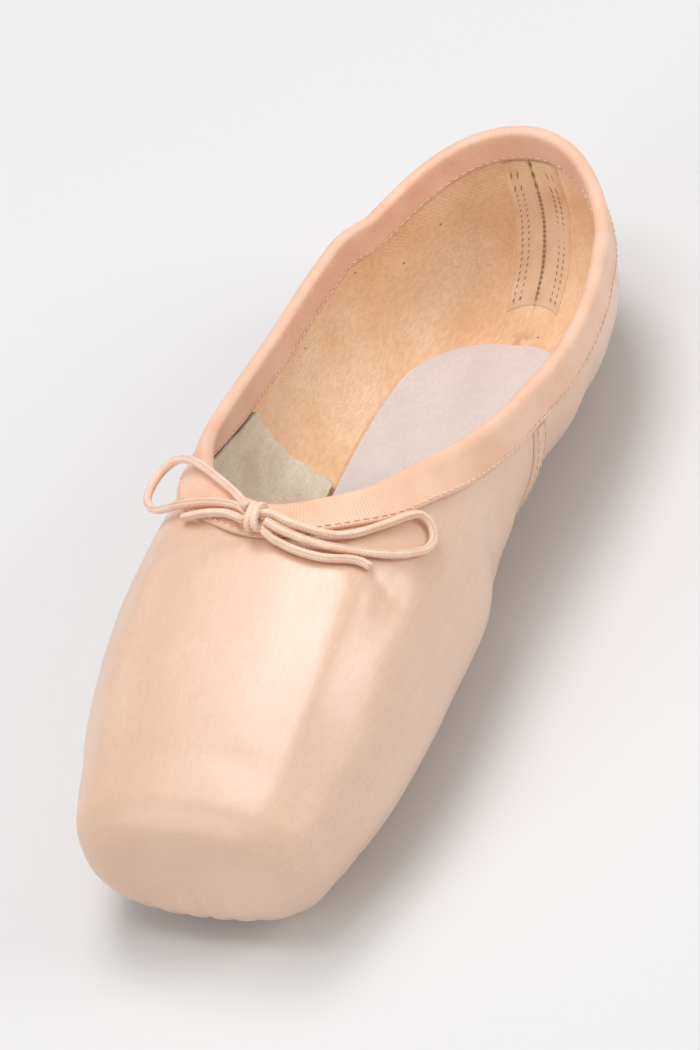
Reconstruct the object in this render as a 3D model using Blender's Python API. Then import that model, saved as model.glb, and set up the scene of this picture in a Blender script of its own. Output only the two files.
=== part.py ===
"""Pointe shoe, straight-lasted, so that it has no left or right. Metres, +Z up, toe towards -Y, standing on its
sole, with the origin below the middle of its length. Every piece is a layer cut from one last: a run of rounded
sections from the flat platform to the collar, then a fan of ribs round the heel."""

import bpy
import numpy as np

# Driving dimensions, metres
LENGTH = 0.242
BALL_WIDTH = 0.082
INSTEP_HEIGHT = 0.066
HEEL_HEIGHT = 0.048
ARCH_LIFT = 0.0038
PLATFORM_EDGE_RADIUS = 0.0075
UPPER_WALL = 0.0014
OUTSOLE_THICKNESS = 0.0024
OUTSOLE_EDGE = 0.0015
INSOLE_THICKNESS = 0.0020
BOX_LAYER = 0.0016
BINDING_DEPTH = 0.0095
BINDING_INSIDE = 0.0080
BINDING_FABRIC = 0.0007
STRIP_FABRIC = 0.0005
STAY_WIDTH = 0.0100
SEAM_WIDTH = 0.0070
TAPE_WIDTH = 0.0170
CORD_DIAMETER = 0.0021

# Named clearances, metres
GAP = 0.0003
BINDING_GAP = 0.0004
CORD_GAP = 0.0004
KNOT_GAP = 0.0010
BOX_CLEARANCE = 0.0010

# Where things lie, as shares of the length from the platform
THROAT = 0.335
HEEL_AXIS = 0.870
HEEL_SPREAD = 0.720
SEAM_TOP = 0.596
SEAM_FOOT = 0.548
INSOLE_START = 0.060
INSOLE_END = 0.850
OUTSOLE_START = 0.085
OUTSOLE_END = 0.890
LASTING_START = 0.150
LASTING_END = 0.800

# Shares of a half turn round the section, from the bottom centre
INSOLE_TURN = 0.200
INSOLE_MARGIN = 0.012
TAPE_TURN = 0.120
LASTING_SHARE = 0.66
SHOULDER_REACH = 0.35

# The bow's knot: its place along the length, and its sizes and the cord's spacing in cord diameters
KNOT_STATION = 0.308
KNOT_WIDTH = 2.0
KNOT_LENGTH = 3.8
KNOT_HEIGHT = 2.9
CORD_STEP = 2.0

# The last, a row for each section: widths are shares of half the ball width, lift of the arch lift, widest of the
# instep height, and the crown is a share of the instep height plus a share of the heel's own crown
SECTION_COLUMNS = ("station", "half_width", "lift", "widest", "crown_instep", "crown_heel", "roof", "keel", "lean")
SECTIONS = np.array((
    (0.000, 0.72, 0.70, 0.28, 0.600, 0.00, 2.6, 2.5, 0.00),
    (0.060, 0.83, 0.35, 0.31, 0.710, 0.00, 2.6, 2.5, 0.00),
    (0.140, 0.94, 0.05, 0.35, 0.840, 0.00, 2.7, 2.5, 0.00),
    (0.220, 0.99, 0.00, 0.38, 0.930, 0.00, 2.7, 2.5, 0.00),
    (0.300, 1.00, 0.00, 0.40, 0.985, 0.00, 2.7, 2.5, 0.00),
    (0.380, 0.99, 0.00, 0.41, 1.000, 0.01, 2.6, 2.5, 0.01),
    (0.480, 0.93, 0.55, 0.47, 0.820, 0.18, 2.6, 2.3, 0.02),
    (0.580, 0.94, 1.00, 0.49, 0.620, 0.38, 2.5, 2.1, 0.00),
    (0.680, 0.97, 0.75, 0.46, 0.430, 0.56, 2.6, 2.1, -0.01),
    (0.780, 0.94, 0.15, 0.46, 0.200, 0.79, 2.6, 2.1, -0.01),
    (0.830, 0.88, 0.00, 0.46, 0.070, 0.92, 2.6, 2.2, -0.02),
    (0.870, 0.80, 0.00, 0.40, 0.000, 1.00, 2.7, 2.2, -0.02),
))

# The collar: reach runs from 0 at the throat to 1 at the back of the heel, as the root of the share of the way
COLLAR_COLUMNS = ("reach", "turn")
COLLAR = np.array((
    (0.00, 1.000),
    (0.12, 0.930),
    (0.20, 0.872),
    (0.27, 0.825),
    (0.35, 0.778),
    (0.47, 0.684),
    (0.60, 0.590),
    (0.72, 0.559),
    (0.82, 0.558),
    (0.91, 0.562),
    (1.00, 0.585),
))

# Rear edge of the stiff box's wings: the station at each height, counted in turns
WING_COLUMNS = ("turn", "station")
WING = np.array((
    (0.20, 0.585),
    (0.35, 0.583),
    (0.50, 0.575),
    (0.60, 0.562),
    (0.70, 0.550),
))

# Outline of the outsole: the half width as a share of half the ball width
SOLE_COLUMNS = ("station", "half_width")
SOLE = np.array((
    (0.085, 0.47),
    (0.140, 0.53),
    (0.220, 0.60),
    (0.300, 0.61),
    (0.400, 0.55),
    (0.500, 0.47),
    (0.600, 0.43),
    (0.700, 0.46),
    (0.800, 0.50),
    (0.850, 0.49),
    (0.890, 0.47),
))

# Where each strand leaves the knot, in cord diameters from its middle
EXIT_COLUMNS = ("side", "along", "up")
EXITS = {
    "right_loop_lower": (1, -0.60, 0.25),
    "right_loop_upper": (1, 0.55, 0.10),
    "right_end": (1, -1.45, -0.75),
    "left_loop_far": (-1, 1.15, 0.45),
    "left_loop_near": (-1, 0.75, -0.70),
    "left_end": (-1, -0.45, -0.05),
}

# Routes of the bow's strands: the station, the way round from the top centre in half turns (the right side is
# positive), and how far the strand is above its bed on the binding, in cord diameters. Bare satin is lower.
ROUTE_COLUMNS = ("station", "round", "rise")
RIGHT_LOOP = (
    (0.3010, 0.038, 0.75),
    (0.2970, 0.068, 0.30),
    (0.2950, 0.098, -0.10),
    (0.2950, 0.130, -0.45),
    (0.2970, 0.165, -0.50),
    (0.3030, 0.205, -0.50),
    (0.3140, 0.243, -0.50),
    (0.3300, 0.275, -0.50),
    (0.3480, 0.298, -0.50),
    (0.3610, 0.302, -0.50),
    (0.3700, 0.293, -0.48),
    (0.3745, 0.277, -0.40),
    (0.3730, 0.260, -0.28),
    (0.3650, 0.245, -0.25),
    (0.3490, 0.223, -0.38),
    (0.3330, 0.199, -0.50),
    (0.3190, 0.175, -0.50),
    (0.3100, 0.148, -0.45),
    (0.3070, 0.118, -0.22),
    (0.3075, 0.090, 0.05),
    (0.3090, 0.060, 0.45),
    (0.3120, 0.038, 0.72),
)
LEFT_LOOP = (
    (0.324, -0.036, 0.95),
    (0.338, -0.064, 0.50),
    (0.356, -0.106, 0.30),
    (0.373, -0.146, 0.30),
    (0.390, -0.188, 0.35),
    (0.403, -0.228, 0.60),
    (0.408, -0.261, 1.05),
    (0.401, -0.283, 1.60),
    (0.386, -0.291, 1.85),
    (0.368, -0.288, 1.65),
    (0.353, -0.272, 0.95),
    (0.343, -0.246, 0.30),
    (0.337, -0.212, 0.05),
    (0.334, -0.176, 0.05),
    (0.332, -0.140, 0.08),
    (0.330, -0.105, 0.15),
    (0.327, -0.072, 0.22),
    (0.322, -0.045, 0.32),
)
RIGHT_END = (
    (0.2920, 0.036, -0.15),
    (0.2890, 0.053, -0.42),
    (0.2850, 0.075, -0.50),
    (0.2815, 0.108, -0.50),
    (0.2810, 0.135, -0.50),
    (0.2840, 0.160, -0.50),
    (0.2885, 0.182, -0.50),
    (0.2905, 0.201, -0.50),
    (0.2895, 0.218, -0.50),
)
LEFT_END = (
    (0.3090, -0.042, 0.55),
    (0.3150, -0.067, 0.18),
    (0.3170, -0.094, 0.03),
    (0.3165, -0.120, 0.02),
    (0.3165, -0.144, -0.15),
    (0.3190, -0.166, -0.45),
)

# Faceting
CAP_ROWS = 1
EDGE_ROWS = 4
VAMP_ROWS = 10
SIDE_ROWS = 14
HEEL_ROWS = 8
UNDER_COLUMNS = 3
SIDE_COLUMNS = 9
TOP_COLUMNS = 7
MARCH_STEP = 0.0010

# How far a run goes over the cap and round the heel, as lengths of its own
CAP_RUN = 0.010
HEEL_RUN = 0.040
EDGE_END = CAP_RUN + PLATFORM_EDGE_RADIUS * np.pi / 2
HEEL_START = EDGE_END + HEEL_AXIS * LENGTH - PLATFORM_EDGE_RADIUS
BACK_CENTRE = HEEL_START + HEEL_RUN
BACK_LENGTH = (1 - HEEL_AXIS) * LENGTH
SOLE_CLEARANCE = OUTSOLE_THICKNESS + GAP
BINDING_TOP = BINDING_GAP + BINDING_FABRIC

# Name: red, green and blue (linear), roughness
MATERIALS = {
    "satin": ((0.80, 0.52, 0.40), 0.42),
    "ribbon": ((0.84, 0.55, 0.40), 0.50),
    "cord": ((0.86, 0.58, 0.42), 0.55),
    "canvas": ((0.56, 0.44, 0.34), 0.85),
    "suede": ((0.60, 0.56, 0.56), 0.90),
    "leather": ((0.42, 0.22, 0.13), 0.65),
}


def smooth(table, column, x):
    """One column of a table, read at x along a soft curve through its rows."""
    xs, ys = table[:, 0], table[:, column]
    slopes = np.gradient(ys, xs)
    x = np.clip(x, xs[0], xs[-1])
    i = np.clip(np.searchsorted(xs, x, side="right") - 1, 0, len(xs) - 2)
    h = xs[i + 1] - xs[i]
    t = (x - xs[i]) / h
    start = (2 * t**3 - 3 * t**2 + 1) * ys[i] + (t**3 - 2 * t**2 + t) * h * slopes[i]
    end = (3 * t**2 - 2 * t**3) * ys[i + 1] + (t**3 - t**2) * h * slopes[i + 1]
    return start + end


def section_values(station):
    """The last's columns at a station, with the lengths in metres."""
    value = {name: smooth(SECTIONS, k, station) for k, name in enumerate(SECTION_COLUMNS) if k}
    value["half"] = value["half_width"] * BALL_WIDTH / 2
    value["bottom"] = SOLE_CLEARANCE + np.maximum(value["lift"], 0) * ARCH_LIFT
    value["middle"] = value["bottom"] + value["widest"] * INSTEP_HEIGHT
    value["top"] = value["crown_instep"] * INSTEP_HEIGHT + value["crown_heel"] * HEEL_CROWN
    return value


def rounded(angle, power):
    """The two shares of a rounded square at an angle from its own axis."""
    across, along = np.abs(np.sin(angle)), np.abs(np.cos(angle))
    size = (across**power + along**power) ** (-1 / power)
    return across * size, along * size


def heel_crown():
    """The crown that puts the collar at the heel height at the centre back."""
    last = dict(zip(SECTION_COLUMNS, SECTIONS[-1]))
    middle = SOLE_CLEARANCE + last["lift"] * ARCH_LIFT + last["widest"] * INSTEP_HEIGHT
    along = rounded((1 - COLLAR[-1, 1]) * np.pi, last["roof"])[1]
    return middle + (HEEL_HEIGHT - middle) / along


HEEL_CROWN = heel_crown()


def station_of(run):
    """Share of the length at a run, with the heel's fan held at its axis."""
    edge_angle = np.clip((run - CAP_RUN) / PLATFORM_EDGE_RADIUS, 0, np.pi / 2)
    on_edge = PLATFORM_EDGE_RADIUS * (1 - np.cos(edge_angle))
    behind = np.minimum(PLATFORM_EDGE_RADIUS + run - EDGE_END, HEEL_AXIS * LENGTH)
    return np.where(run < EDGE_END, on_edge, behind) / LENGTH


def run_of(station):
    return EDGE_END + station * LENGTH - PLATFORM_EDGE_RADIUS


def fan_angle(run):
    return np.clip((run - HEEL_START) / HEEL_RUN, 0, 1) * np.pi / 2


def fan_radius(angle, half):
    """Reach of the heel's outline from its axis: the end of an ellipse whose middle lies further forward."""
    ahead, reach = (HEEL_AXIS - HEEL_SPREAD) * LENGTH, (1 - HEEL_SPREAD) * LENGTH
    width = half / np.sqrt(1 - (ahead / reach) ** 2)
    square = (np.cos(angle) / width) ** 2 + (np.sin(angle) / reach) ** 2
    shift = ahead * np.sin(angle) / reach**2
    return (np.sqrt(shift**2 + square * (1 - (ahead / reach) ** 2)) - shift) / square


def collar_turn(run):
    """The turn at which the collar cuts each row: 1 before the throat."""
    station = station_of(run) + (1 - HEEL_AXIS) * np.sin(fan_angle(run))
    reach = np.sqrt(np.clip((station - THROAT) / (1 - THROAT), 0, 1))
    return smooth(COLLAR, 1, reach)


def surface(run, turn):
    """A point of the last. turn is 0 at the bottom centre, 1 at the top centre and 2 at the bottom again, past the
    left side."""
    run, turn = np.broadcast_arrays(np.asarray(run, float), np.asarray(turn, float))
    station, fan = station_of(run), fan_angle(run)
    at = section_values(station)
    half, bottom, middle, top = at["half"], at["bottom"], at["middle"], at["top"]
    angle = turn * np.pi
    low = np.cos(angle) > 0
    across, along = rounded(angle, np.where(low, at["keel"], at["roof"]))
    x = np.where(low, across, across * (1 - at["lean"] * along))
    z = np.where(low, middle - (middle - bottom) * along, middle + (top - middle) * along)
    # The platform's face and its rounded edge are the first sections drawn in
    edge_angle = np.clip((run - CAP_RUN) / PLATFORM_EDGE_RADIUS, 0, np.pi / 2)
    inset = PLATFORM_EDGE_RADIUS * (1 - np.sin(edge_angle))
    cap = np.clip(run / CAP_RUN, 0, 1)
    height = (top - bottom) / 2
    x = x * (half - inset) / half * cap
    z = (top + bottom) / 2 + (z - (top + bottom) / 2) * (height - inset) / height * cap
    radius = x * fan_radius(fan, half)
    side = np.sign(np.sin(angle) + (np.sin(angle) == 0))
    y = np.where(fan > 0, HEEL_AXIS * LENGTH + radius * np.sin(fan), station * LENGTH)
    x = np.where(fan > 0, radius * np.cos(fan), x * half) * side
    return np.stack((x, y - LENGTH / 2, z), axis=-1)


def slopes_of(run, turn):
    """How the point moves with the run and with the turn."""
    step_run, step_turn = LENGTH * 1e-4, 1e-3
    along = (surface(run + step_run, turn) - surface(run - step_run, turn)) / (2 * step_run)
    around = (surface(run, turn + step_turn) - surface(run, turn - step_turn)) / (2 * step_turn)
    return along, around


def normal(run, turn):
    """Outward unit normal of the last."""
    run, turn = np.broadcast_arrays(np.asarray(run, float), np.asarray(turn, float))
    # On a pole of the heel's fan the ribs meet, so the slope is read a little way off
    inside = np.minimum(run, BACK_CENTRE - LENGTH * 2e-4)
    off_pole = np.where((inside > HEEL_START) & (turn < 0.02), 0.02, turn)
    off_pole = np.where((inside > HEEL_START) & (turn > 1.98), 1.98, off_pole)
    along, around = slopes_of(inside, off_pole)
    out = np.cross(along, around)
    size = np.linalg.norm(out, axis=-1, keepdims=True)
    out = out / np.where(size == 0, 1, size)
    flat = (run < CAP_RUN * 0.99)[..., None]
    out = np.where(flat, np.array((0.0, -1.0, 0.0)), out)
    centred = ((np.abs(np.sin(turn * np.pi)) < 1e-9) | (run >= BACK_CENTRE))[..., None]
    out = np.where(centred, out * np.array((0.0, 1.0, 1.0)), out)
    return out / np.linalg.norm(out, axis=-1, keepdims=True)


def layer_point(run, turn, height):
    """A point at this height above the last, or below it when negative."""
    return surface(run, turn) + normal(run, turn) * np.asarray(height)[..., None]


def add_object(name, points, faces, material):
    mesh = bpy.data.meshes.new(name)
    mesh.from_pydata([tuple(float(v) for v in p) for p in points], [], [tuple(int(v) for v in f) for f in faces])
    mesh.validate()
    obj = bpy.data.objects.new(name, mesh)
    bpy.context.scene.collection.objects.link(obj)
    obj.data.materials.append(material)
    mesh.polygons.foreach_set("use_smooth", [True] * len(mesh.polygons))
    mesh.set_sharp_from_angle(angle=np.radians(40))
    return obj


def signed_volume(points, faces):
    total = 0.0
    for face in faces:
        a = points[face[0]]
        for k in range(1, len(face) - 1):
            total += np.dot(a, np.cross(points[face[k]], points[face[k + 1]]))
    return total


def split_quad(points, quad):
    """Two triangles on the shorter diagonal."""
    a, b, c, d = quad
    if np.linalg.norm(points[a] - points[c]) <= np.linalg.norm(points[b] - points[d]):
        return [[a, b, c], [a, c, d]]
    return [[a, b, d], [b, c, d]]


def welded_quads(grids):
    """Corner parameters and faces of some grids of (run, turn), with the points that coincide made one."""
    corners, quads, start = [], [], 0
    for grid in grids:
        rows, columns = grid.shape[:2]
        index = start + np.arange(rows * columns).reshape(rows, columns)
        quads += list(zip(index[:-1, :-1].flat, index[:-1, 1:].flat, index[1:, 1:].flat, index[1:, :-1].flat))
        corners.append(grid.reshape(-1, 2))
        start += rows * columns
    corners = np.concatenate(corners)
    places = np.round(surface(corners[:, 0], corners[:, 1]) * 1e6).astype(np.int64)
    _, first, index = np.unique(places, axis=0, return_index=True, return_inverse=True)
    index = index.reshape(-1)
    places = places[first]
    faces = []
    for quad in quads:
        face = []
        for corner in quad:
            if index[corner] not in face:
                face.append(int(index[corner]))
        if len(face) == 4:
            faces += split_quad(places, face)
        elif len(face) == 3:
            faces.append(face)
    return corners[first], faces


def open_edges(faces):
    """The edges that one face alone has, in that face's direction."""
    seen = {}
    for face in faces:
        for a, b in zip(face, face[1:] + face[:1]):
            seen[(a, b)] = True
    return [(a, b) for a, b in seen if (b, a) not in seen]


def add_layer(name, grids, outside, inside, material):
    """A closed layer of the last between two heights above it."""
    corners, faces = welded_quads(grids)
    run, turn = corners[:, 0], corners[:, 1]
    outer = layer_point(run, turn, np.full(len(run), outside))
    inner = layer_point(run, turn, np.full(len(run), inside))
    count = len(corners)
    points = np.concatenate((outer, inner))
    solid = [list(face) for face in faces]
    solid += [[v + count for v in reversed(face)] for face in faces]
    solid += [[b, a, a + count, b + count] for a, b in open_edges(faces)]
    if signed_volume(points, solid) < 0:
        solid = [face[::-1] for face in solid]
    return add_object(name, points, solid, material)


def add_ring(name, rings, material, closed=True):
    """A solid lofted through rings of points, closed on itself or capped at its ends."""
    rings = np.asarray(rings)
    count, size = rings.shape[:2]
    index = np.arange(count * size).reshape(count, size)
    points = rings.reshape(-1, 3)
    faces = []
    for i in range(count if closed else count - 1):
        for j in range(size):
            here, there = index[i], index[(i + 1) % count]
            quad = [here[j], here[(j + 1) % size], there[(j + 1) % size], there[j]]
            faces += split_quad(points, quad)
    if not closed:
        faces += [list(index[0][::-1]), list(index[-1])]
    if signed_volume(points, faces) < 0:
        faces = [face[::-1] for face in faces]
    return add_object(name, points, faces, material)


def both_sides(grid):
    """A grid on the right side and its mirror on the left."""
    left = grid[:, ::-1].copy()
    left[..., 1] = 2 - left[..., 1]
    return [grid, left]


def under_turns(low):
    """Turns of the columns under the insole, a row for each of the values in low."""
    low = np.asarray(low)[:, None]
    return low + (INSOLE_TURN - low) * np.linspace(0, 1, UNDER_COLUMNS + 1)


def grid_of(runs, turns):
    return np.stack(np.broadcast_arrays(runs, turns), axis=-1)


def turn_at_width(station, x):
    """The turn of the lower section at a distance from the centre line."""
    at = section_values(station)
    share = np.clip(np.abs(x) / at["half"], 0, 0.999)
    along = (1 - share ** at["keel"]) ** (1 / at["keel"])
    return np.arctan2(share, along) / np.pi


def bottom_height(x, y):
    """Height of the last's underside, y from the platform."""
    station = np.minimum(y / LENGTH, HEEL_AXIS)
    at = section_values(station)
    behind = np.maximum(y - HEEL_AXIS * LENGTH, 0)
    angle = np.arctan2(behind, np.maximum(np.abs(x), 1e-9))
    radius = np.where(behind > 0, np.hypot(x, behind), np.abs(x))
    reach = np.where(behind > 0, fan_radius(angle, at["half"]), at["half"])
    share = np.clip(radius / reach, 0, 0.999)
    along = (1 - share ** at["keel"]) ** (1 / at["keel"])
    return at["middle"] - (at["middle"] - at["bottom"]) * along


def front_runs():
    """Runs over the platform and round its edge."""
    cap = np.linspace(0, CAP_RUN, CAP_ROWS + 1)[:-1]
    edge = np.linspace(CAP_RUN, EDGE_END, EDGE_ROWS + 1)
    return np.concatenate((cap, edge))


def side_runs():
    """Runs from the shoulders of the throat to the centre back."""
    station = THROAT + (1 - THROAT) * SHOULDER_REACH**2
    side = np.linspace(station, HEEL_AXIS, SIDE_ROWS + 1)
    heel = np.linspace(HEEL_START, BACK_CENTRE, HEEL_ROWS + 1)[1:]
    return np.concatenate((run_of(side), heel))


def vamp_turns():
    """Turns of the vamp's columns: up the side from the insole to the shoulder, then over the top."""
    shoulder = smooth(COLLAR, 1, SHOULDER_REACH)
    side = np.linspace(INSOLE_TURN, shoulder, SIDE_COLUMNS + 1)
    top = np.linspace(shoulder, 1, TOP_COLUMNS + 1)[1:]
    return np.concatenate((side, top))


def vamp_rows(bound):
    """Runs of the vamp's rows, from the platform to a bounding row."""
    front = front_runs()
    rows = [np.full(len(bound), run) for run in front]
    rows += [front[-1] + (bound - front[-1]) * part for part in np.linspace(0, 1, VAMP_ROWS + 1)[1:]]
    return np.array(rows)


def throat_runs(turns):
    """Runs of the row that bounds the vamp: straight up the sides, then round the throat."""
    reach = np.linspace(SHOULDER_REACH, 0, 400)
    found = np.interp(turns, smooth(COLLAR, 1, reach), reach)
    return run_of(THROAT + (1 - THROAT) * found**2)


def lasting_half_width(station):
    """Half width of the opening underneath, which the sole and insole close."""
    share = 2 * (station - LASTING_START) / (LASTING_END - LASTING_START) - 1
    fade = np.clip(1 - share**2, 0, 1)
    return LASTING_SHARE * smooth(SOLE, 1, station) * BALL_WIDTH / 2 * fade


def lasting_turn(run):
    """The turn at which the upper's underside ends."""
    station = station_of(run)
    width = np.where(run < HEEL_START, lasting_half_width(station), 0)
    return np.where(width > 0, turn_at_width(station, width), 0)


def add_upper(material):
    turns = vamp_turns()
    rows = vamp_rows(throat_runs(turns))
    under = under_turns(lasting_turn(rows[:, 0]))
    side = side_runs()
    wall = np.linspace(0, 1, SIDE_COLUMNS + 1)
    rise = (collar_turn(side) - INSOLE_TURN)[:, None]
    halves = (
        grid_of(rows[:, :1], under),
        grid_of(rows, turns),
        grid_of(side[:, None], under_turns(lasting_turn(side))),
        grid_of(side[:, None], INSOLE_TURN + rise * wall),
    )
    grids = [grid for half in halves for grid in both_sides(half)]
    return add_layer("upper", grids, 0, -UPPER_WALL, material)


def collar_line():
    """Runs and turns along the collar, at the upper's own corners."""
    turns = vamp_turns()[: SIDE_COLUMNS - 1 : -1]
    side = side_runs()[1:]
    return np.concatenate((throat_runs(turns), side)), np.concatenate((turns, collar_turn(side)))


def collar_frame(runs, turns):
    """Edge points, normals and the direction down the surface away from the opening."""
    points, out = surface(runs, turns), normal(runs, turns)
    ahead = np.gradient(points, axis=0)
    ahead[0], ahead[-1] = np.array((1.0, 0, 0)), np.array((-1.0, 0, 0))
    down = np.cross(ahead, out)
    down -= out * np.sum(down * out, axis=1, keepdims=True)
    return points, out, down / np.linalg.norm(down, axis=1, keepdims=True)


def marched(runs, turns, down, distance):
    """Runs and turns this far below the collar, found by walking over the surface."""
    runs, turns, down = runs.copy(), turns.copy(), down.copy()
    steps = max(1, int(np.ceil(distance / MARCH_STEP)))
    for _ in range(steps):
        along, around = slopes_of(np.minimum(runs, BACK_CENTRE - LENGTH * 2e-4), turns)
        out = normal(runs, turns)
        down -= out * np.sum(down * out, axis=1, keepdims=True)
        down /= np.linalg.norm(down, axis=1, keepdims=True)
        step = down * distance / steps
        aa, ab, bb = (np.sum(p * q, axis=1) for p, q in ((along, along), (along, around), (around, around)))
        pa, pb = np.sum(step * along, axis=1), np.sum(step * around, axis=1)
        fall = aa * bb - ab * ab
        runs = np.minimum(runs + (pa * bb - pb * ab) / fall, BACK_CENTRE)
        turns = np.minimum(turns + (pb * aa - pa * ab) / fall, 1.0)
    return runs, turns


def add_binding(material):
    runs, turns = collar_line()
    edge, out, down = collar_frame(runs, turns)
    outside, inside = BINDING_GAP, -UPPER_WALL - BINDING_GAP
    outer_face, inner_face = BINDING_TOP, inside - BINDING_FABRIC
    # Down the outside, over the edge, down the inside, and back under: depth below the edge, height above the last
    ring = (
        (BINDING_DEPTH, outside),
        (BINDING_DEPTH, outer_face),
        (BINDING_DEPTH / 2, outer_face),
        (0, outer_face),
        (-BINDING_GAP - BINDING_FABRIC, -UPPER_WALL / 2),
        (0, inner_face),
        (BINDING_INSIDE / 2, inner_face),
        (BINDING_INSIDE, inner_face),
        (BINDING_INSIDE, inside),
        (BINDING_INSIDE / 2, inside),
        (-BINDING_GAP, inside),
        (-BINDING_GAP, outside),
        (BINDING_DEPTH / 2, outside),
    )
    half = []
    for depth, height in ring:
        if depth > 0:
            at_run, at_turn = marched(runs, turns, down, depth)
            half.append(layer_point(at_run, at_turn, np.full(len(runs), height)))
        else:
            half.append(edge - down * abs(depth) + out * height)
    half = np.stack(half, axis=1)
    mirrored = half[-2:0:-1] * np.array((-1.0, 1.0, 1.0))
    return add_ring("binding", np.concatenate((half, mirrored)), material)


def add_toe_box(material):
    """The stiff inner layer: platform, box and the two wings that show inside the throat."""
    runs, turns = collar_line()
    down = collar_frame(runs, turns)[2]
    edge_run, edge_turn = marched(runs, turns, down, BINDING_INSIDE + BOX_CLEARANCE)
    turn = vamp_turns()
    turn[0] += INSOLE_MARGIN
    lowest = int(np.argmin(edge_turn))
    by_collar = np.interp(turn, edge_turn[lowest::-1], edge_run[lowest::-1])
    end = np.minimum(by_collar, run_of(smooth(WING, 1, turn)))
    grid = grid_of(vamp_rows(end), turn)
    top = -UPPER_WALL - GAP
    return add_layer("toe_box", both_sides(grid), top, top - BOX_LAYER, material)


def rounded_end(distance, reach, least):
    """Share of the full width at a distance from an end that is rounded over this reach."""
    share = np.clip(distance / reach, 0, 1)
    return least + (1 - least) * np.sqrt(1 - (1 - share) ** 2)


def add_insole(material):
    share = (1 - np.cos(np.linspace(0, np.pi, 3 * VAMP_ROWS))) / 2
    station = INSOLE_START + (INSOLE_END - INSOLE_START) * share
    toe = rounded_end(station - INSOLE_START, 2 * INSOLE_START, 0.55)
    heel = rounded_end(INSOLE_END - station, INSOLE_TURN / 2, 0.15)
    grid = grid_of(run_of(station)[:, None], (INSOLE_TURN * toe * heel)[:, None] * np.linspace(0, 1, UNDER_COLUMNS + 1))
    top = -UPPER_WALL - GAP
    return add_layer("insole", both_sides(grid), top, top - INSOLE_THICKNESS, material)


def add_outsole(material):
    """The leather sole: its top follows the last, its underside is flat and rises to a skived edge."""
    share = (1 - np.cos(np.linspace(0, np.pi, 2 * VAMP_ROWS))) / 2
    station = OUTSOLE_START + (OUTSOLE_END - OUTSOLE_START) * share
    toe_round = 1 - (1 - np.clip((station - OUTSOLE_START) / 0.06, 0, 1)) ** 2
    heel_round = 1 - (1 - np.clip((OUTSOLE_END - station) / 0.075, 0, 1)) ** 2
    ends = np.sqrt(np.clip(toe_round * heel_round, 0.02, 1))
    half = smooth(SOLE, 1, station) * BALL_WIDTH / 2 * ends
    across = np.sin(np.linspace(-1, 1, 2 * TOP_COLUMNS - 1) * np.pi / 2)
    x = half[:, None] * across
    y = np.broadcast_to((station * LENGTH)[:, None], x.shape)
    top = bottom_height(x, y) - GAP
    flat = (section_values(np.minimum(station, HEEL_AXIS))["bottom"] - SOLE_CLEARANCE)[:, None]
    rim = top[:, -1:] - OUTSOLE_EDGE
    ramp = np.clip((np.abs(across) - 0.45) / 0.55, 0, 1) ** 2
    bottom = flat + (rim - flat) * ramp
    upper_side = np.stack((x, y - LENGTH / 2, top), axis=-1)
    under_side = np.stack((x, y - LENGTH / 2, bottom), axis=-1)
    rings = np.concatenate((upper_side, under_side[:, ::-1]), axis=1)
    return add_ring("outsole", rings, material, closed=False)


def add_back_stay(material):
    """The strip from the sole's heel end up to the binding."""
    binding_end = marched_turn(BACK_CENTRE, BINDING_DEPTH + GAP)
    start = turn_behind((OUTSOLE_END - HEEL_AXIS) * LENGTH + 4 * GAP)
    rows, columns = HEEL_ROWS + 3, 4
    turn = np.linspace(start, binding_end, rows)
    radius = BACK_LENGTH * rounded(turn * np.pi, SECTIONS[-1, 7])[0]
    pinch = 0.62 + 0.38 * np.linspace(0, 1, rows) ** 0.5
    half_angle = STAY_WIDTH / 2 * pinch / radius
    share = np.linspace(0, 1, columns)
    run = BACK_CENTRE - half_angle[:, None] * share / (np.pi / 2) * HEEL_RUN
    grid = grid_of(run, turn[:, None])
    return add_layer("back_stay", both_sides(grid), GAP + STRIP_FABRIC, GAP, material)


def marched_turn(run, depth):
    """The turn this far down the wall below the collar at one run."""
    turns = np.linspace(collar_turn(np.array(run)), 0.1, 400)
    points = surface(np.full(400, run), turns)
    way = np.concatenate(([0], np.cumsum(np.linalg.norm(np.diff(points, axis=0), axis=1))))
    return float(np.interp(depth, way, turns))


def turn_behind(distance):
    """The turn at the centre back where the last is this far behind the heel's axis."""
    keel = SECTIONS[-1, 7]
    share = distance / BACK_LENGTH
    return float(np.arctan2(share, (1 - share**keel) ** (1 / keel)) / np.pi)


def add_side_seam(name, side, material):
    """A raised seam of one quarter, its foot further forward than its top."""
    sole_half = float(smooth(SOLE, 1, SEAM_FOOT)) * BALL_WIDTH / 2
    low = float(turn_at_width(SEAM_FOOT, sole_half + 2 * GAP))
    share = np.linspace(0, 1, 10)
    rows = []
    for offset in np.linspace(-SEAM_WIDTH / 2, SEAM_WIDTH / 2, 4):
        foot, top = run_of(SEAM_FOOT) + offset, run_of(SEAM_TOP) + offset
        high = marched_turn(top, BINDING_DEPTH + 3 * GAP)
        rows.append(np.stack((foot + (top - foot) * share, low + (high - low) * share), axis=-1))
    grid = np.array(rows)
    if side < 0:
        grid[..., 1] = 2 - grid[..., 1]
    return add_layer(name, [grid], GAP + STRIP_FABRIC, GAP, material)


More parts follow.
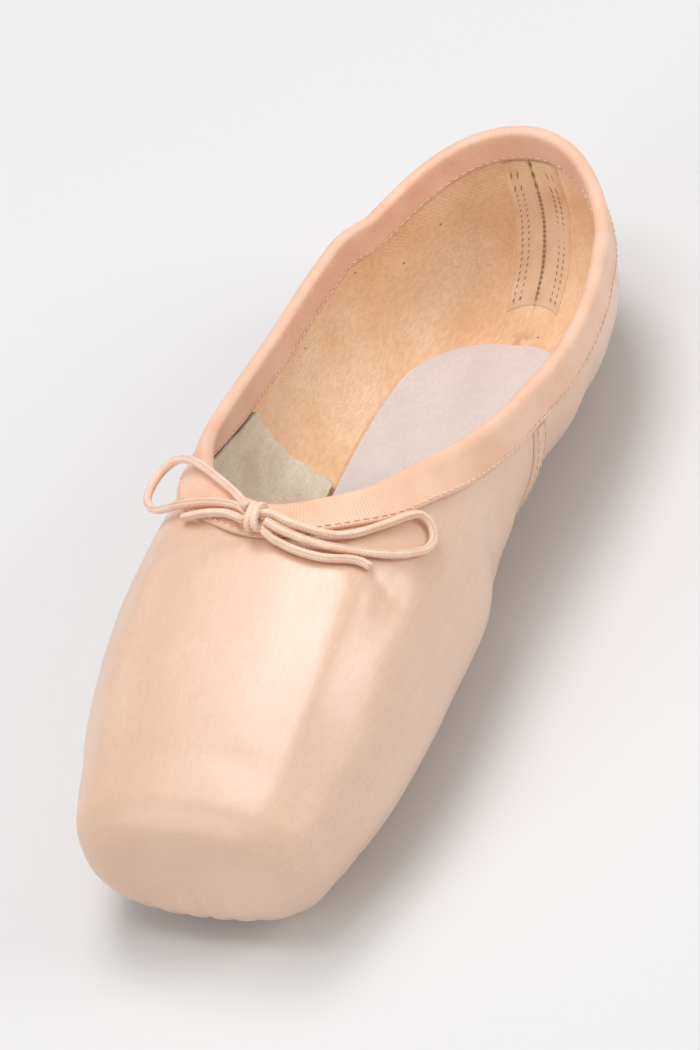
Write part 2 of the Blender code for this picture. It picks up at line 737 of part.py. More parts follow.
def add_heel_tape(material):
    """The canvas tape that covers the centre back seam inside."""
    high = marched_turn(BACK_CENTRE, BINDING_INSIDE + 3 * GAP)
    turn = np.linspace(TAPE_TURN, high, 9)
    radius = BACK_LENGTH * rounded(turn * np.pi, SECTIONS[-1, 7])[0]
    share = np.linspace(0, 1, 4)
    run = BACK_CENTRE - (TAPE_WIDTH / 2 / radius)[:, None] * share / (np.pi / 2) * HEEL_RUN
    grid = grid_of(run, turn[:, None])
    top = -UPPER_WALL - GAP
    return add_layer("heel_tape", both_sides(grid), top, top - STRIP_FABRIC, material)


def knot_point(across, along, up):
    """A point given from the middle of the knot, in cord diameters. along runs towards the heel."""
    run, turn = run_of(KNOT_STATION), 1.0
    out = normal(run, turn)
    ahead = np.cross(out, (1.0, 0.0, 0.0))
    middle = layer_point(run, turn, BINDING_TOP + CORD_GAP + KNOT_HEIGHT * CORD_DIAMETER / 2)
    return middle + CORD_DIAMETER * (np.array((across, 0.0, 0.0)) + along * ahead + up * out)


def exit_point(name):
    side, along, up = EXITS[name]
    return knot_point(side * (KNOT_WIDTH / 2 + KNOT_GAP / CORD_DIAMETER), along, up)


def route_points(rows):
    """A route's points in metres."""
    station, around, rise = np.array(rows).T
    bed = BINDING_TOP + CORD_GAP + CORD_DIAMETER / 2
    return layer_point(run_of(station), 1 - around, bed + rise * CORD_DIAMETER)


def cord_line(points):
    """Points at equal steps along a soft curve through these points."""
    along = np.concatenate(([0], np.cumsum(np.linalg.norm(np.diff(points, axis=0), axis=1))))
    table = np.column_stack((along, points))
    fine = np.linspace(0, along[-1], 40 * len(points))
    curve = np.stack([smooth(table, column, fine) for column in (1, 2, 3)], axis=-1)
    way = np.concatenate(([0], np.cumsum(np.linalg.norm(np.diff(curve, axis=0), axis=1))))
    steps = int(np.ceil(way[-1] / (CORD_STEP * CORD_DIAMETER)))
    even = np.linspace(0, way[-1], steps + 1)
    return np.stack([np.interp(even, way, curve[:, axis]) for axis in range(3)], axis=-1)


def add_cord(name, points, material):
    line = cord_line(points)
    curve = bpy.data.curves.new(name, "CURVE")
    curve.dimensions = "3D"
    curve.bevel_depth = CORD_DIAMETER / 2
    curve.bevel_resolution = 2
    curve.use_fill_caps = True
    spline = curve.splines.new("POLY")
    spline.points.add(len(line) - 1)
    for point, place in zip(spline.points, line):
        point.co = (*(float(v) for v in place), 1.0)
    obj = bpy.data.objects.new(name, curve)
    bpy.context.scene.collection.objects.link(obj)
    curve.materials.append(material)
    return obj


def add_knot(material):
    """The wrapped knot, a rounded block whose sides the strands leave."""
    shares = ((-1.0, 0.80), (-0.6, 0.97), (0.0, 1.0), (0.6, 0.97), (1.0, 0.80))
    angles = np.linspace(0, 2 * np.pi, 12, endpoint=False)
    along, up = rounded(angles, 2.5)
    along, up = along * np.sign(np.sin(angles)), up * np.sign(np.cos(angles))
    rings = []
    for across, size in shares:
        rings.append([
            knot_point(across * KNOT_WIDTH / 2, a * size * KNOT_LENGTH / 2, u * size * KNOT_HEIGHT / 2)
            for a, u in zip(along, up)
        ])
    return add_ring("bow_knot", rings, material, closed=False)


def add_bow(material):
    add_knot(material)
    loops = (
        ("bow_loop_right", RIGHT_LOOP, "right_loop_lower", "right_loop_upper"),
        ("bow_loop_left", LEFT_LOOP, "left_loop_far", "left_loop_near"),
    )
    for name, rows, first, last in loops:
        points = (exit_point(first)[None], route_points(rows), exit_point(last)[None])
        add_cord(name, np.concatenate(points), material)
    ends = (("drawstring_end_right", RIGHT_END, "right_end"), ("drawstring_end_left", LEFT_END, "left_end"))
    for name, rows, first in ends:
        add_cord(name, np.concatenate((exit_point(first)[None], route_points(rows))), material)


def make_materials():
    made = {}
    for name, (colour, roughness) in MATERIALS.items():
        material = bpy.data.materials.new(name)
        material.use_nodes = True
        shader = next(n for n in material.node_tree.nodes if n.type == "BSDF_PRINCIPLED")
        shader.inputs["Base Color"].default_value = (*colour, 1.0)
        shader.inputs["Roughness"].default_value = roughness
        shader.inputs["Metallic"].default_value = 0.0
        made[name] = material
    return made


def main():
    for obj in list(bpy.data.objects):
        bpy.data.objects.remove(obj, do_unlink=True)
    material = make_materials()
    add_upper(material["satin"])
    add_outsole(material["leather"])
    add_insole(material["suede"])
    add_toe_box(material["canvas"])
    add_binding(material["ribbon"])
    add_back_stay(material["satin"])
    add_side_seam("side_seam_right", 1, material["satin"])
    add_side_seam("side_seam_left", -1, material["satin"])
    add_heel_tape(material["canvas"])
    add_bow(material["cord"])


main()
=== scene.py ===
"""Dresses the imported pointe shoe: satin, ribbon, linings, leather and the drawstring's bow.

In metres, with the toe towards -Y. The last's sizes, tables and functions are those of the part's
source, which this file can't read."""

import bpy
import numpy as np
from mathutils import Matrix, Vector


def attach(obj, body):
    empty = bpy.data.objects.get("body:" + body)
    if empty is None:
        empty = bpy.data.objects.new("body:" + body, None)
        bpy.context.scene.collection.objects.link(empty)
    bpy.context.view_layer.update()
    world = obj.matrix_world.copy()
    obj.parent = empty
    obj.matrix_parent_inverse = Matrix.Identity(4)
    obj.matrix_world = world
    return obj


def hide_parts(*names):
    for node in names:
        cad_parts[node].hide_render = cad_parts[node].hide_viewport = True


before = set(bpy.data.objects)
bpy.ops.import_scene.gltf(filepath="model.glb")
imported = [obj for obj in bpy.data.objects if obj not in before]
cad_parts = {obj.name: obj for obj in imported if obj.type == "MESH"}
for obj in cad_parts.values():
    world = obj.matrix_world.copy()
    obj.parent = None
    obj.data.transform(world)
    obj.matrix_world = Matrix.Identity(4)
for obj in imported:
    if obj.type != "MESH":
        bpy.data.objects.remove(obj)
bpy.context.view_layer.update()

# Driving dimensions, metres
LENGTH = 0.242
BALL_WIDTH = 0.082
INSTEP_HEIGHT = 0.066
HEEL_HEIGHT = 0.048
ARCH_LIFT = 0.0038
PLATFORM_EDGE_RADIUS = 0.0075
UPPER_WALL = 0.0014
OUTSOLE_THICKNESS = 0.0024
OUTSOLE_EDGE = 0.0015
INSOLE_THICKNESS = 0.0020
BOX_LAYER = 0.0016
BINDING_DEPTH = 0.0095
BINDING_INSIDE = 0.0080
BINDING_FABRIC = 0.0007
STRIP_FABRIC = 0.0005
STAY_WIDTH = 0.0100
SEAM_WIDTH = 0.0070
TAPE_WIDTH = 0.0170
CORD_DIAMETER = 0.0021

# Named clearances, metres
GAP = 0.0003
BINDING_GAP = 0.0004
CORD_GAP = 0.0004
KNOT_GAP = 0.0010
BOX_CLEARANCE = 0.0010

# Where things lie, as shares of the length from the platform
THROAT = 0.335
HEEL_AXIS = 0.870
HEEL_SPREAD = 0.720
SEAM_TOP = 0.596
SEAM_FOOT = 0.548
INSOLE_START = 0.060
INSOLE_END = 0.850
OUTSOLE_START = 0.085
OUTSOLE_END = 0.890
LASTING_START = 0.150
LASTING_END = 0.800

# Shares of a half turn round the section, from the bottom centre
INSOLE_TURN = 0.200
INSOLE_MARGIN = 0.012
TAPE_TURN = 0.120
LASTING_SHARE = 0.66
SHOULDER_REACH = 0.35

# The bow's knot: its place along the length, and its width and height in cord diameters
KNOT_STATION = 0.308
KNOT_WIDTH = 2.0
KNOT_HEIGHT = 2.9

# The last, a row for each section: widths are shares of half the ball width, lift of the arch lift,
# widest of the instep height, and the crown is a share of the instep height plus a share of the
# heel's own crown
SECTION_COLUMNS = (
    "station", "half_width", "lift", "widest", "crown_instep", "crown_heel", "roof", "keel", "lean",
)
SECTIONS = np.array((
    (0.000, 0.72, 0.70, 0.28, 0.600, 0.00, 2.6, 2.5, 0.00),
    (0.060, 0.83, 0.35, 0.31, 0.710, 0.00, 2.6, 2.5, 0.00),
    (0.140, 0.94, 0.05, 0.35, 0.840, 0.00, 2.7, 2.5, 0.00),
    (0.220, 0.99, 0.00, 0.38, 0.930, 0.00, 2.7, 2.5, 0.00),
    (0.300, 1.00, 0.00, 0.40, 0.985, 0.00, 2.7, 2.5, 0.00),
    (0.380, 0.99, 0.00, 0.41, 1.000, 0.01, 2.6, 2.5, 0.01),
    (0.480, 0.93, 0.55, 0.47, 0.820, 0.18, 2.6, 2.3, 0.02),
    (0.580, 0.94, 1.00, 0.49, 0.620, 0.38, 2.5, 2.1, 0.00),
    (0.680, 0.97, 0.75, 0.46, 0.430, 0.56, 2.6, 2.1, -0.01),
    (0.780, 0.94, 0.15, 0.46, 0.200, 0.79, 2.6, 2.1, -0.01),
    (0.830, 0.88, 0.00, 0.46, 0.070, 0.92, 2.6, 2.2, -0.02),
    (0.870, 0.80, 0.00, 0.40, 0.000, 1.00, 2.7, 2.2, -0.02),
))

# The collar, as reach and turn. The reach is the root of the share of the way from the throat to the
# back of the heel
COLLAR = np.array((
    (0.00, 1.000),
    (0.12, 0.930),
    (0.20, 0.872),
    (0.27, 0.825),
    (0.35, 0.778),
    (0.47, 0.684),
    (0.60, 0.590),
    (0.72, 0.559),
    (0.82, 0.558),
    (0.91, 0.562),
    (1.00, 0.585),
))

# Rear edge of the stiff box's wings, as turn and station
WING = np.array((
    (0.20, 0.585),
    (0.35, 0.583),
    (0.50, 0.575),
    (0.60, 0.562),
    (0.70, 0.550),
))

# Outline of the outsole, as station and half width, which is a share of half the ball width
SOLE = np.array((
    (0.085, 0.47),
    (0.140, 0.53),
    (0.220, 0.60),
    (0.300, 0.61),
    (0.400, 0.55),
    (0.500, 0.47),
    (0.600, 0.43),
    (0.700, 0.46),
    (0.800, 0.50),
    (0.850, 0.49),
    (0.890, 0.47),
))

# Where each strand leaves the knot: its side, and how far towards the heel and up, in cord diameters
# from the knot's middle
EXITS = {
    "right_loop_lower": (1, -0.60, 0.25),
    "right_loop_upper": (1, 0.55, 0.10),
    "right_end": (1, -1.45, -0.75),
    "left_loop_far": (-1, 1.15, 0.45),
    "left_loop_near": (-1, 0.75, -0.70),
    "left_end": (-1, -0.45, -0.05),
}

# Routes of the bow's strands: the station, the way round from the top centre in half turns (the right
# side is positive), and how far the strand is above its bed on the binding, in cord diameters. Bare
# satin is lower.
RIGHT_LOOP = (
    (0.3010, 0.038, 0.75),
    (0.2970, 0.068, 0.30),
    (0.2950, 0.098, -0.10),
    (0.2950, 0.130, -0.45),
    (0.2970, 0.165, -0.50),
    (0.3030, 0.205, -0.50),
    (0.3140, 0.243, -0.50),
    (0.3300, 0.275, -0.50),
    (0.3480, 0.298, -0.50),
    (0.3610, 0.302, -0.50),
    (0.3700, 0.293, -0.48),
    (0.3745, 0.277, -0.40),
    (0.3730, 0.260, -0.28),
    (0.3650, 0.245, -0.25),
    (0.3490, 0.223, -0.38),
    (0.3330, 0.199, -0.50),
    (0.3190, 0.175, -0.50),
    (0.3100, 0.148, -0.45),
    (0.3070, 0.118, -0.22),
    (0.3075, 0.090, 0.05),
    (0.3090, 0.060, 0.45),
    (0.3120, 0.038, 0.72),
)
LEFT_LOOP = (
    (0.324, -0.036, 0.95),
    (0.338, -0.064, 0.50),
    (0.356, -0.106, 0.30),
    (0.373, -0.146, 0.30),
    (0.390, -0.188, 0.35),
    (0.403, -0.228, 0.60),
    (0.408, -0.261, 1.05),
    (0.401, -0.283, 1.60),
    (0.386, -0.291, 1.85),
    (0.368, -0.288, 1.65),
    (0.353, -0.272, 0.95),
    (0.343, -0.246, 0.30),
    (0.337, -0.212, 0.05),
    (0.334, -0.176, 0.05),
    (0.332, -0.140, 0.08),
    (0.330, -0.105, 0.15),
    (0.327, -0.072, 0.22),
    (0.322, -0.045, 0.32),
)
RIGHT_END = (
    (0.2920, 0.036, -0.15),
    (0.2890, 0.053, -0.42),
    (0.2850, 0.075, -0.50),
    (0.2815, 0.108, -0.50),
    (0.2810, 0.135, -0.50),
    (0.2840, 0.160, -0.50),
    (0.2885, 0.182, -0.50),
    (0.2905, 0.201, -0.50),
    (0.2895, 0.218, -0.50),
)
LEFT_END = (
    (0.3090, -0.042, 0.55),
    (0.3150, -0.067, 0.18),
    (0.3170, -0.094, 0.03),
    (0.3165, -0.120, 0.02),
    (0.3165, -0.144, -0.15),
    (0.3190, -0.166, -0.45),
)

# How far a run goes over the cap and round the heel, as lengths of its own
CAP_RUN = 0.010
HEEL_RUN = 0.040
EDGE_END = CAP_RUN + PLATFORM_EDGE_RADIUS * np.pi / 2
HEEL_START = EDGE_END + HEEL_AXIS * LENGTH - PLATFORM_EDGE_RADIUS
BACK_CENTRE = HEEL_START + HEEL_RUN
BACK_LENGTH = (1 - HEEL_AXIS) * LENGTH
SOLE_CLEARANCE = OUTSOLE_THICKNESS + GAP
BINDING_TOP = BINDING_GAP + BINDING_FABRIC

# The last run at which the surface's slopes can be read, and how near to a pole of the heel's fan
SLOPE_END = BACK_CENTRE - LENGTH * 2e-4
POLE_TURN = 0.02


def smooth(table, column, x):
    """One column of a table, read at x along a soft curve through its rows."""
    xs, ys = table[:, 0], table[:, column]
    slopes = np.gradient(ys, xs)
    x = np.clip(x, xs[0], xs[-1])
    i = np.clip(np.searchsorted(xs, x, side="right") - 1, 0, len(xs) - 2)
    h = xs[i + 1] - xs[i]
    t = (x - xs[i]) / h
    start = (2 * t**3 - 3 * t**2 + 1) * ys[i] + (t**3 - 2 * t**2 + t) * h * slopes[i]
    end = (3 * t**2 - 2 * t**3) * ys[i + 1] + (t**3 - t**2) * h * slopes[i + 1]
    return start + end


def lengths_along(points):
    """How far along a line each of its points lies."""
    return np.concatenate(([0], np.cumsum(np.linalg.norm(np.diff(points, axis=0), axis=1))))


def unit(vectors):
    return vectors / np.linalg.norm(vectors, axis=-1, keepdims=True)


def section_values(station):
    """The last's columns at a station, with the lengths in metres."""
    value = {name: smooth(SECTIONS, k, station) for k, name in enumerate(SECTION_COLUMNS) if k}
    value["half"] = value["half_width"] * BALL_WIDTH / 2
    value["bottom"] = SOLE_CLEARANCE + np.maximum(value["lift"], 0) * ARCH_LIFT
    value["middle"] = value["bottom"] + value["widest"] * INSTEP_HEIGHT
    value["top"] = value["crown_instep"] * INSTEP_HEIGHT + value["crown_heel"] * HEEL_CROWN
    return value


def rounded(angle, power):
    """The two shares of a rounded square at an angle from its own axis."""
    across, along = np.abs(np.sin(angle)), np.abs(np.cos(angle))
    size = (across**power + along**power) ** (-1 / power)
    return across * size, along * size


def heel_crown():
    """The crown that puts the collar at the heel height at the centre back."""
    last = dict(zip(SECTION_COLUMNS, SECTIONS[-1]))
    middle = SOLE_CLEARANCE + last["lift"] * ARCH_LIFT + last["widest"] * INSTEP_HEIGHT
    along = rounded((1 - COLLAR[-1, 1]) * np.pi, last["roof"])[1]
    return middle + (HEEL_HEIGHT - middle) / along


HEEL_CROWN = heel_crown()


def station_of(run):
    """Share of the length at a run, with the heel's fan held at its axis."""
    edge_angle = np.clip((run - CAP_RUN) / PLATFORM_EDGE_RADIUS, 0, np.pi / 2)
    on_edge = PLATFORM_EDGE_RADIUS * (1 - np.cos(edge_angle))
    behind = np.minimum(PLATFORM_EDGE_RADIUS + run - EDGE_END, HEEL_AXIS * LENGTH)
    return np.where(run < EDGE_END, on_edge, behind) / LENGTH


def run_of(station):
    return EDGE_END + station * LENGTH - PLATFORM_EDGE_RADIUS


def fan_angle(run):
    return np.clip((run - HEEL_START) / HEEL_RUN, 0, 1) * np.pi / 2


def fan_radius(angle, half):
    """Reach of the heel's outline from its axis. It is the end of an ellipse with its middle further
    forward."""
    ahead, reach = (HEEL_AXIS - HEEL_SPREAD) * LENGTH, (1 - HEEL_SPREAD) * LENGTH
    width = half / np.sqrt(1 - (ahead / reach) ** 2)
    square = (np.cos(angle) / width) ** 2 + (np.sin(angle) / reach) ** 2
    shift = ahead * np.sin(angle) / reach**2
    return (np.sqrt(shift**2 + square * (1 - (ahead / reach) ** 2)) - shift) / square


def collar_turn(run):
    """The turn at which the collar cuts each row: 1 before the throat."""
    station = station_of(run) + (1 - HEEL_AXIS) * np.sin(fan_angle(run))
    reach = np.sqrt(np.clip((station - THROAT) / (1 - THROAT), 0, 1))
    return smooth(COLLAR, 1, reach)


def surface(run, turn):
    """A point of the last. turn is 0 at the bottom centre, 1 at the top centre and 2 at the bottom
    again, past the left side."""
    run, turn = np.broadcast_arrays(np.asarray(run, float), np.asarray(turn, float))
    station, fan = station_of(run), fan_angle(run)
    at = section_values(station)
    half, bottom, middle, top = at["half"], at["bottom"], at["middle"], at["top"]
    angle = turn * np.pi
    low = np.cos(angle) > 0
    across, along = rounded(angle, np.where(low, at["keel"], at["roof"]))
    x = np.where(low, across, across * (1 - at["lean"] * along))
    z = np.where(low, middle - (middle - bottom) * along, middle + (top - middle) * along)
    # The platform's face and its rounded edge are the first sections drawn in
    edge_angle = np.clip((run - CAP_RUN) / PLATFORM_EDGE_RADIUS, 0, np.pi / 2)
    inset = PLATFORM_EDGE_RADIUS * (1 - np.sin(edge_angle))
    cap = np.clip(run / CAP_RUN, 0, 1)
    height = (top - bottom) / 2
    x = x * (half - inset) / half * cap
    z = (top + bottom) / 2 + (z - (top + bottom) / 2) * (height - inset) / height * cap
    radius = x * fan_radius(fan, half)
    side = np.sign(np.sin(angle) + (np.sin(angle) == 0))
    y = np.where(fan > 0, HEEL_AXIS * LENGTH + radius * np.sin(fan), station * LENGTH)
    x = np.where(fan > 0, radius * np.cos(fan), x * half) * side
    return np.stack((x, y - LENGTH / 2, z), axis=-1)


def slopes_of(run, turn):
    """How the point moves with the run and with the turn."""
    step_run, step_turn = LENGTH * 1e-4, 1e-3
    along = (surface(run + step_run, turn) - surface(run - step_run, turn)) / (2 * step_run)
    around = (surface(run, turn + step_turn) - surface(run, turn - step_turn)) / (2 * step_turn)
    return along, around


def normal(run, turn):
    """Outward unit normal of the last."""
    run, turn = np.broadcast_arrays(np.asarray(run, float), np.asarray(turn, float))
    # On a pole of the heel's fan the ribs meet, so the slope is read a little way off
    inside = np.minimum(run, SLOPE_END)
    off_pole = np.where(inside > HEEL_START, np.clip(turn, POLE_TURN, 2 - POLE_TURN), turn)
    along, around = slopes_of(inside, off_pole)
    out = np.cross(along, around)
    size = np.linalg.norm(out, axis=-1, keepdims=True)
    out = out / np.where(size == 0, 1, size)
    flat = (run < CAP_RUN * 0.99)[..., None]
    out = np.where(flat, np.array((0.0, -1.0, 0.0)), out)
    centred = ((np.abs(np.sin(turn * np.pi)) < 1e-9) | (run >= BACK_CENTRE))[..., None]
    return unit(np.where(centred, out * np.array((0.0, 1.0, 1.0)), out))


def layer_point(run, turn, height):
    """A point at this height above the last, or below it when negative."""
    return surface(run, turn) + normal(run, turn) * np.asarray(height)[..., None]


def turn_at_width(station, x):
    """The turn of the lower section at a distance from the centre line."""
    at = section_values(station)
    share = np.clip(np.abs(x) / at["half"], 0, 0.999)
    along = (1 - share ** at["keel"]) ** (1 / at["keel"])
    return np.arctan2(share, along) / np.pi


def bottom_height(x, y):
    """Height of the last's underside, y from the platform."""
    station = np.minimum(y / LENGTH, HEEL_AXIS)
    at = section_values(station)
    behind = np.maximum(y - HEEL_AXIS * LENGTH, 0)
    angle = np.arctan2(behind, np.maximum(np.abs(x), 1e-9))
    radius = np.where(behind > 0, np.hypot(x, behind), np.abs(x))
    reach = np.where(behind > 0, fan_radius(angle, at["half"]), at["half"])
    share = np.clip(radius / reach, 0, 0.999)
    along = (1 - share ** at["keel"]) ** (1 / at["keel"])
    return at["middle"] - (at["middle"] - at["bottom"]) * along


def lasting_half_width(station):
    """Half width of the opening underneath, which the sole and insole close."""
    share = 2 * (station - LASTING_START) / (LASTING_END - LASTING_START) - 1
    fade = np.clip(1 - share**2, 0, 1)
    return LASTING_SHARE * smooth(SOLE, 1, station) * BALL_WIDTH / 2 * fade


def lasting_turn(run):
    """The turn at which the upper's underside ends."""
    station = station_of(run)
    width = np.where(run < HEEL_START, lasting_half_width(station), 0)
    return np.where(width > 0, turn_at_width(station, width), 0)


def collar_frame(runs, turns):
    """Edge points, normals and the direction down the surface away from the opening."""
    points, out = surface(runs, turns), normal(runs, turns)
    ahead = np.gradient(points, axis=0)
    ahead[0], ahead[-1] = np.array((1.0, 0, 0)), np.array((-1.0, 0, 0))
    down = np.cross(ahead, out)
    down -= out * np.sum(down * out, axis=1, keepdims=True)
    return points, out, unit(down)


def marched(runs, turns, down, distance):
    """Runs and turns this far below the collar, found by walking over the surface."""
    steps = max(1, int(np.ceil(distance / MARCH_STEP)))
    for _ in range(steps):
        along, around = slopes_of(np.minimum(runs, SLOPE_END), turns)
        out = normal(runs, turns)
        down = unit(down - out * np.sum(down * out, axis=1, keepdims=True))
        step = down * distance / steps
        aa, ab, bb, pa, pb = (np.sum(p * q, axis=1) for p, q in (
            (along, along), (along, around), (around, around), (step, along), (step, around)))
        fall = aa * bb - ab * ab
        runs = np.minimum(runs + (pa * bb - pb * ab) / fall, BACK_CENTRE)
        turns = np.minimum(turns + (pb * aa - pa * ab) / fall, 1.0)
    return runs, turns


def marched_turn(run, depth):
    """The turn this far down the wall below the collar at one run."""
    turns = np.linspace(collar_turn(np.array(run)), 0.1, 400)
    points = surface(np.full(400, run), turns)
    return float(np.interp(depth, lengths_along(points), turns))


def turn_behind(distance):
    """The turn at the centre back where the last is this far behind the heel's axis."""
    keel = SECTIONS[-1, 7]
    share = distance / BACK_LENGTH
    return float(np.arctan2(share, (1 - share**keel) ** (1 / keel)) / np.pi)


def back_radius(turn):
    """How far behind the heel's axis the centre back lies at each turn."""
    return BACK_LENGTH * rounded(turn * np.pi, SECTIONS[-1, 7])[0]


def knot_point(across, along, up):
    """A point given from the middle of the knot, in cord diameters. along runs towards the heel."""
    run, turn = run_of(KNOT_STATION), 1.0
    out = normal(run, turn)
    ahead = np.cross(out, (1.0, 0.0, 0.0))
    middle = layer_point(run, turn, BINDING_TOP + CORD_GAP + KNOT_HEIGHT * CORD_DIAMETER / 2)
    return middle + CORD_DIAMETER * (np.array((across, 0.0, 0.0)) + along * ahead + up * out)


def exit_point(name):
    side, along, up = EXITS[name]
    return knot_point(side * (KNOT_WIDTH / 2 + KNOT_GAP / CORD_DIAMETER), along, up)


def route_points(rows):
    """A route's points in metres."""
    station, around, rise = np.array(rows).T
    bed = BINDING_TOP + CORD_GAP + CORD_DIAMETER / 2
    return layer_point(run_of(station), 1 - around, bed + rise * CORD_DIAMETER)


MM = 0.001
MARCH_STEP = 0.0010
HALF_GIRTH = 0.115
TO_LEFT = np.array((-1.0, 1.0, 1.0))

# Faceting of the dressed surfaces: rows along or up each piece, columns across it, and points along
# the collar's throat and side
CAP_ROWS, EDGE_ROWS, VAMP_ROWS, SIDE_ROWS, HEEL_ROWS = 8, 12, 84, 70, 40
UNDER_COLUMNS, SIDE_COLUMNS, TOP_COLUMNS = 12, 44, 40
BINDING_POINTS, WING_POINTS = (70, 190), (60, 160)
INSOLE_ROWS, INSOLE_COLUMNS = 140, 30
OUTSOLE_ROWS, OUTSOLE_COLUMNS = 150, 41
STAY_ROWS, STAY_COLUMNS = 70, 10
SEAM_ROWS, SEAM_COLUMNS = 60, 15
TAPE_ROWS, TAPE_COLUMNS = 60, 18

# Ribbon binding: the bead along its edge, and its puckers
BEAD_HEIGHT, BEAD_PLACE, BEAD_WIDTH = 0.22 * MM, 1.6 * MM, 1.3 * MM
PUCKER_HEIGHT, PUCKER_LENGTH, PUCKER_DRIFT = 0.10 * MM, 3.1 * MM, 7.7 * MM

# Stitches: sides and points of each thread, how high it bows, and where its rows lie: from the
# binding's edges, as a share of the stay's half width, and from the seam's middle
THREAD_SIDES, THREAD_POINTS, THREAD_BOW = 6, 5, 0.12 * MM
BINDING_MARGIN, STAY_SHARE, SEAM_OFFSET = 1.0 * MM, 0.78, 1.9 * MM
# Pitch of each row, share of it that the thread covers, and the thread's radius
BINDING_STITCHES = (2.3 * MM, 0.68, 0.2 * MM)
STAY_STITCHES = (2.2 * MM, 0.72, 0.15 * MM)
SEAM_STITCHES = (2.3 * MM, 0.7, 0.2 * MM)
TAPE_THREAD = 0.14 * MM

# Facets round the cord, and the steps along it and along the knot's wraps
CORD_SIDES, CORD_STEP, WRAP_STEP = 16, 0.7 * MM, 0.4 * MM

# Rounding of the outsole's two ends, as shares of the length
SOLE_TOE_ROUND, SOLE_HEEL_ROUND = 0.06, 0.075
# Share of the half width within which the outsole's underside is flat
SOLE_FLAT = 0.45

# The photo's camera: round the shoe, above the floor and rolled, in degrees, then how far it stands
# off, and how far its frame's middle is from the shoe's
CAMERA_AZIMUTH, CAMERA_ELEVATION, CAMERA_ROLL = 30.79, 39.61, -16.73
CAMERA_DISTANCE = 1.5
CAMERA_ASIDE, CAMERA_ABOVE, CAMERA_AIM_HEIGHT = 0.0654, 0.0263, 0.025
CAMERA_TARGET = (-0.0023, -0.0079, 0.030)
FOCAL_PIXELS, FRAME_HEIGHT, ZOOM, SENSOR = 3498.39, 1050, 1.75, 36.0

# Square lamps that face the shoe: name, place, size, power and tint
LAMPS = (
    ("key", (-0.10, -0.18, 1.5), 0.85, 7.5, (1.0, 0.975, 0.985)),
    ("back", (-0.26, 0.50, 1.4), 0.6, 7.5, (1.0, 0.95, 0.98)),
    ("side", (1.35, 0.35, 0.8), 0.6, 7.0, (1.0, 0.97, 0.94)),
    ("front", (-0.7, -1.5, 0.8), 1.0, 7.0, (1.0, 0.98, 0.96)),
)
WORLD_TINT, WORLD_POWER = (0.96, 0.97, 1.0, 1.0), 0.42
FLOOR_REACH = 6.0


def make_camera():
    azimuth, elevation, roll = np.radians((CAMERA_AZIMUTH, CAMERA_ELEVATION, CAMERA_ROLL))
    level = np.array((np.cos(azimuth), np.sin(azimuth), 0.0))
    ahead = np.array((-np.sin(azimuth), np.cos(azimuth), 0.0))
    back = np.array((0.0, 0.0, np.sin(elevation))) - ahead * np.cos(elevation)
    upright = np.cross(back, level)
    right = level * np.cos(roll) + upright * np.sin(roll)
    up = upright * np.cos(roll) - level * np.sin(roll)
    place = np.array((0, 0, CAMERA_AIM_HEIGHT)) + back * CAMERA_DISTANCE
    place += right * CAMERA_ASIDE + up * CAMERA_ABOVE
    back = unit(place - np.array(CAMERA_TARGET))
    right = unit(right - back * np.dot(right, back))
    up = np.cross(back, right)
    data = bpy.data.cameras.new("camera")
    data.sensor_width = SENSOR
    data.lens = FOCAL_PIXELS * ZOOM / FRAME_HEIGHT * SENSOR
    data.clip_start, data.clip_end = 0.05, 50
    camera = bpy.data.objects.new("camera", data)
    turn = Matrix((right, up, back)).transposed().to_4x4()
    camera.matrix_world = Matrix.Translation(Vector(place)) @ turn
    bpy.context.scene.collection.objects.link(camera)
    bpy.context.scene.camera = camera


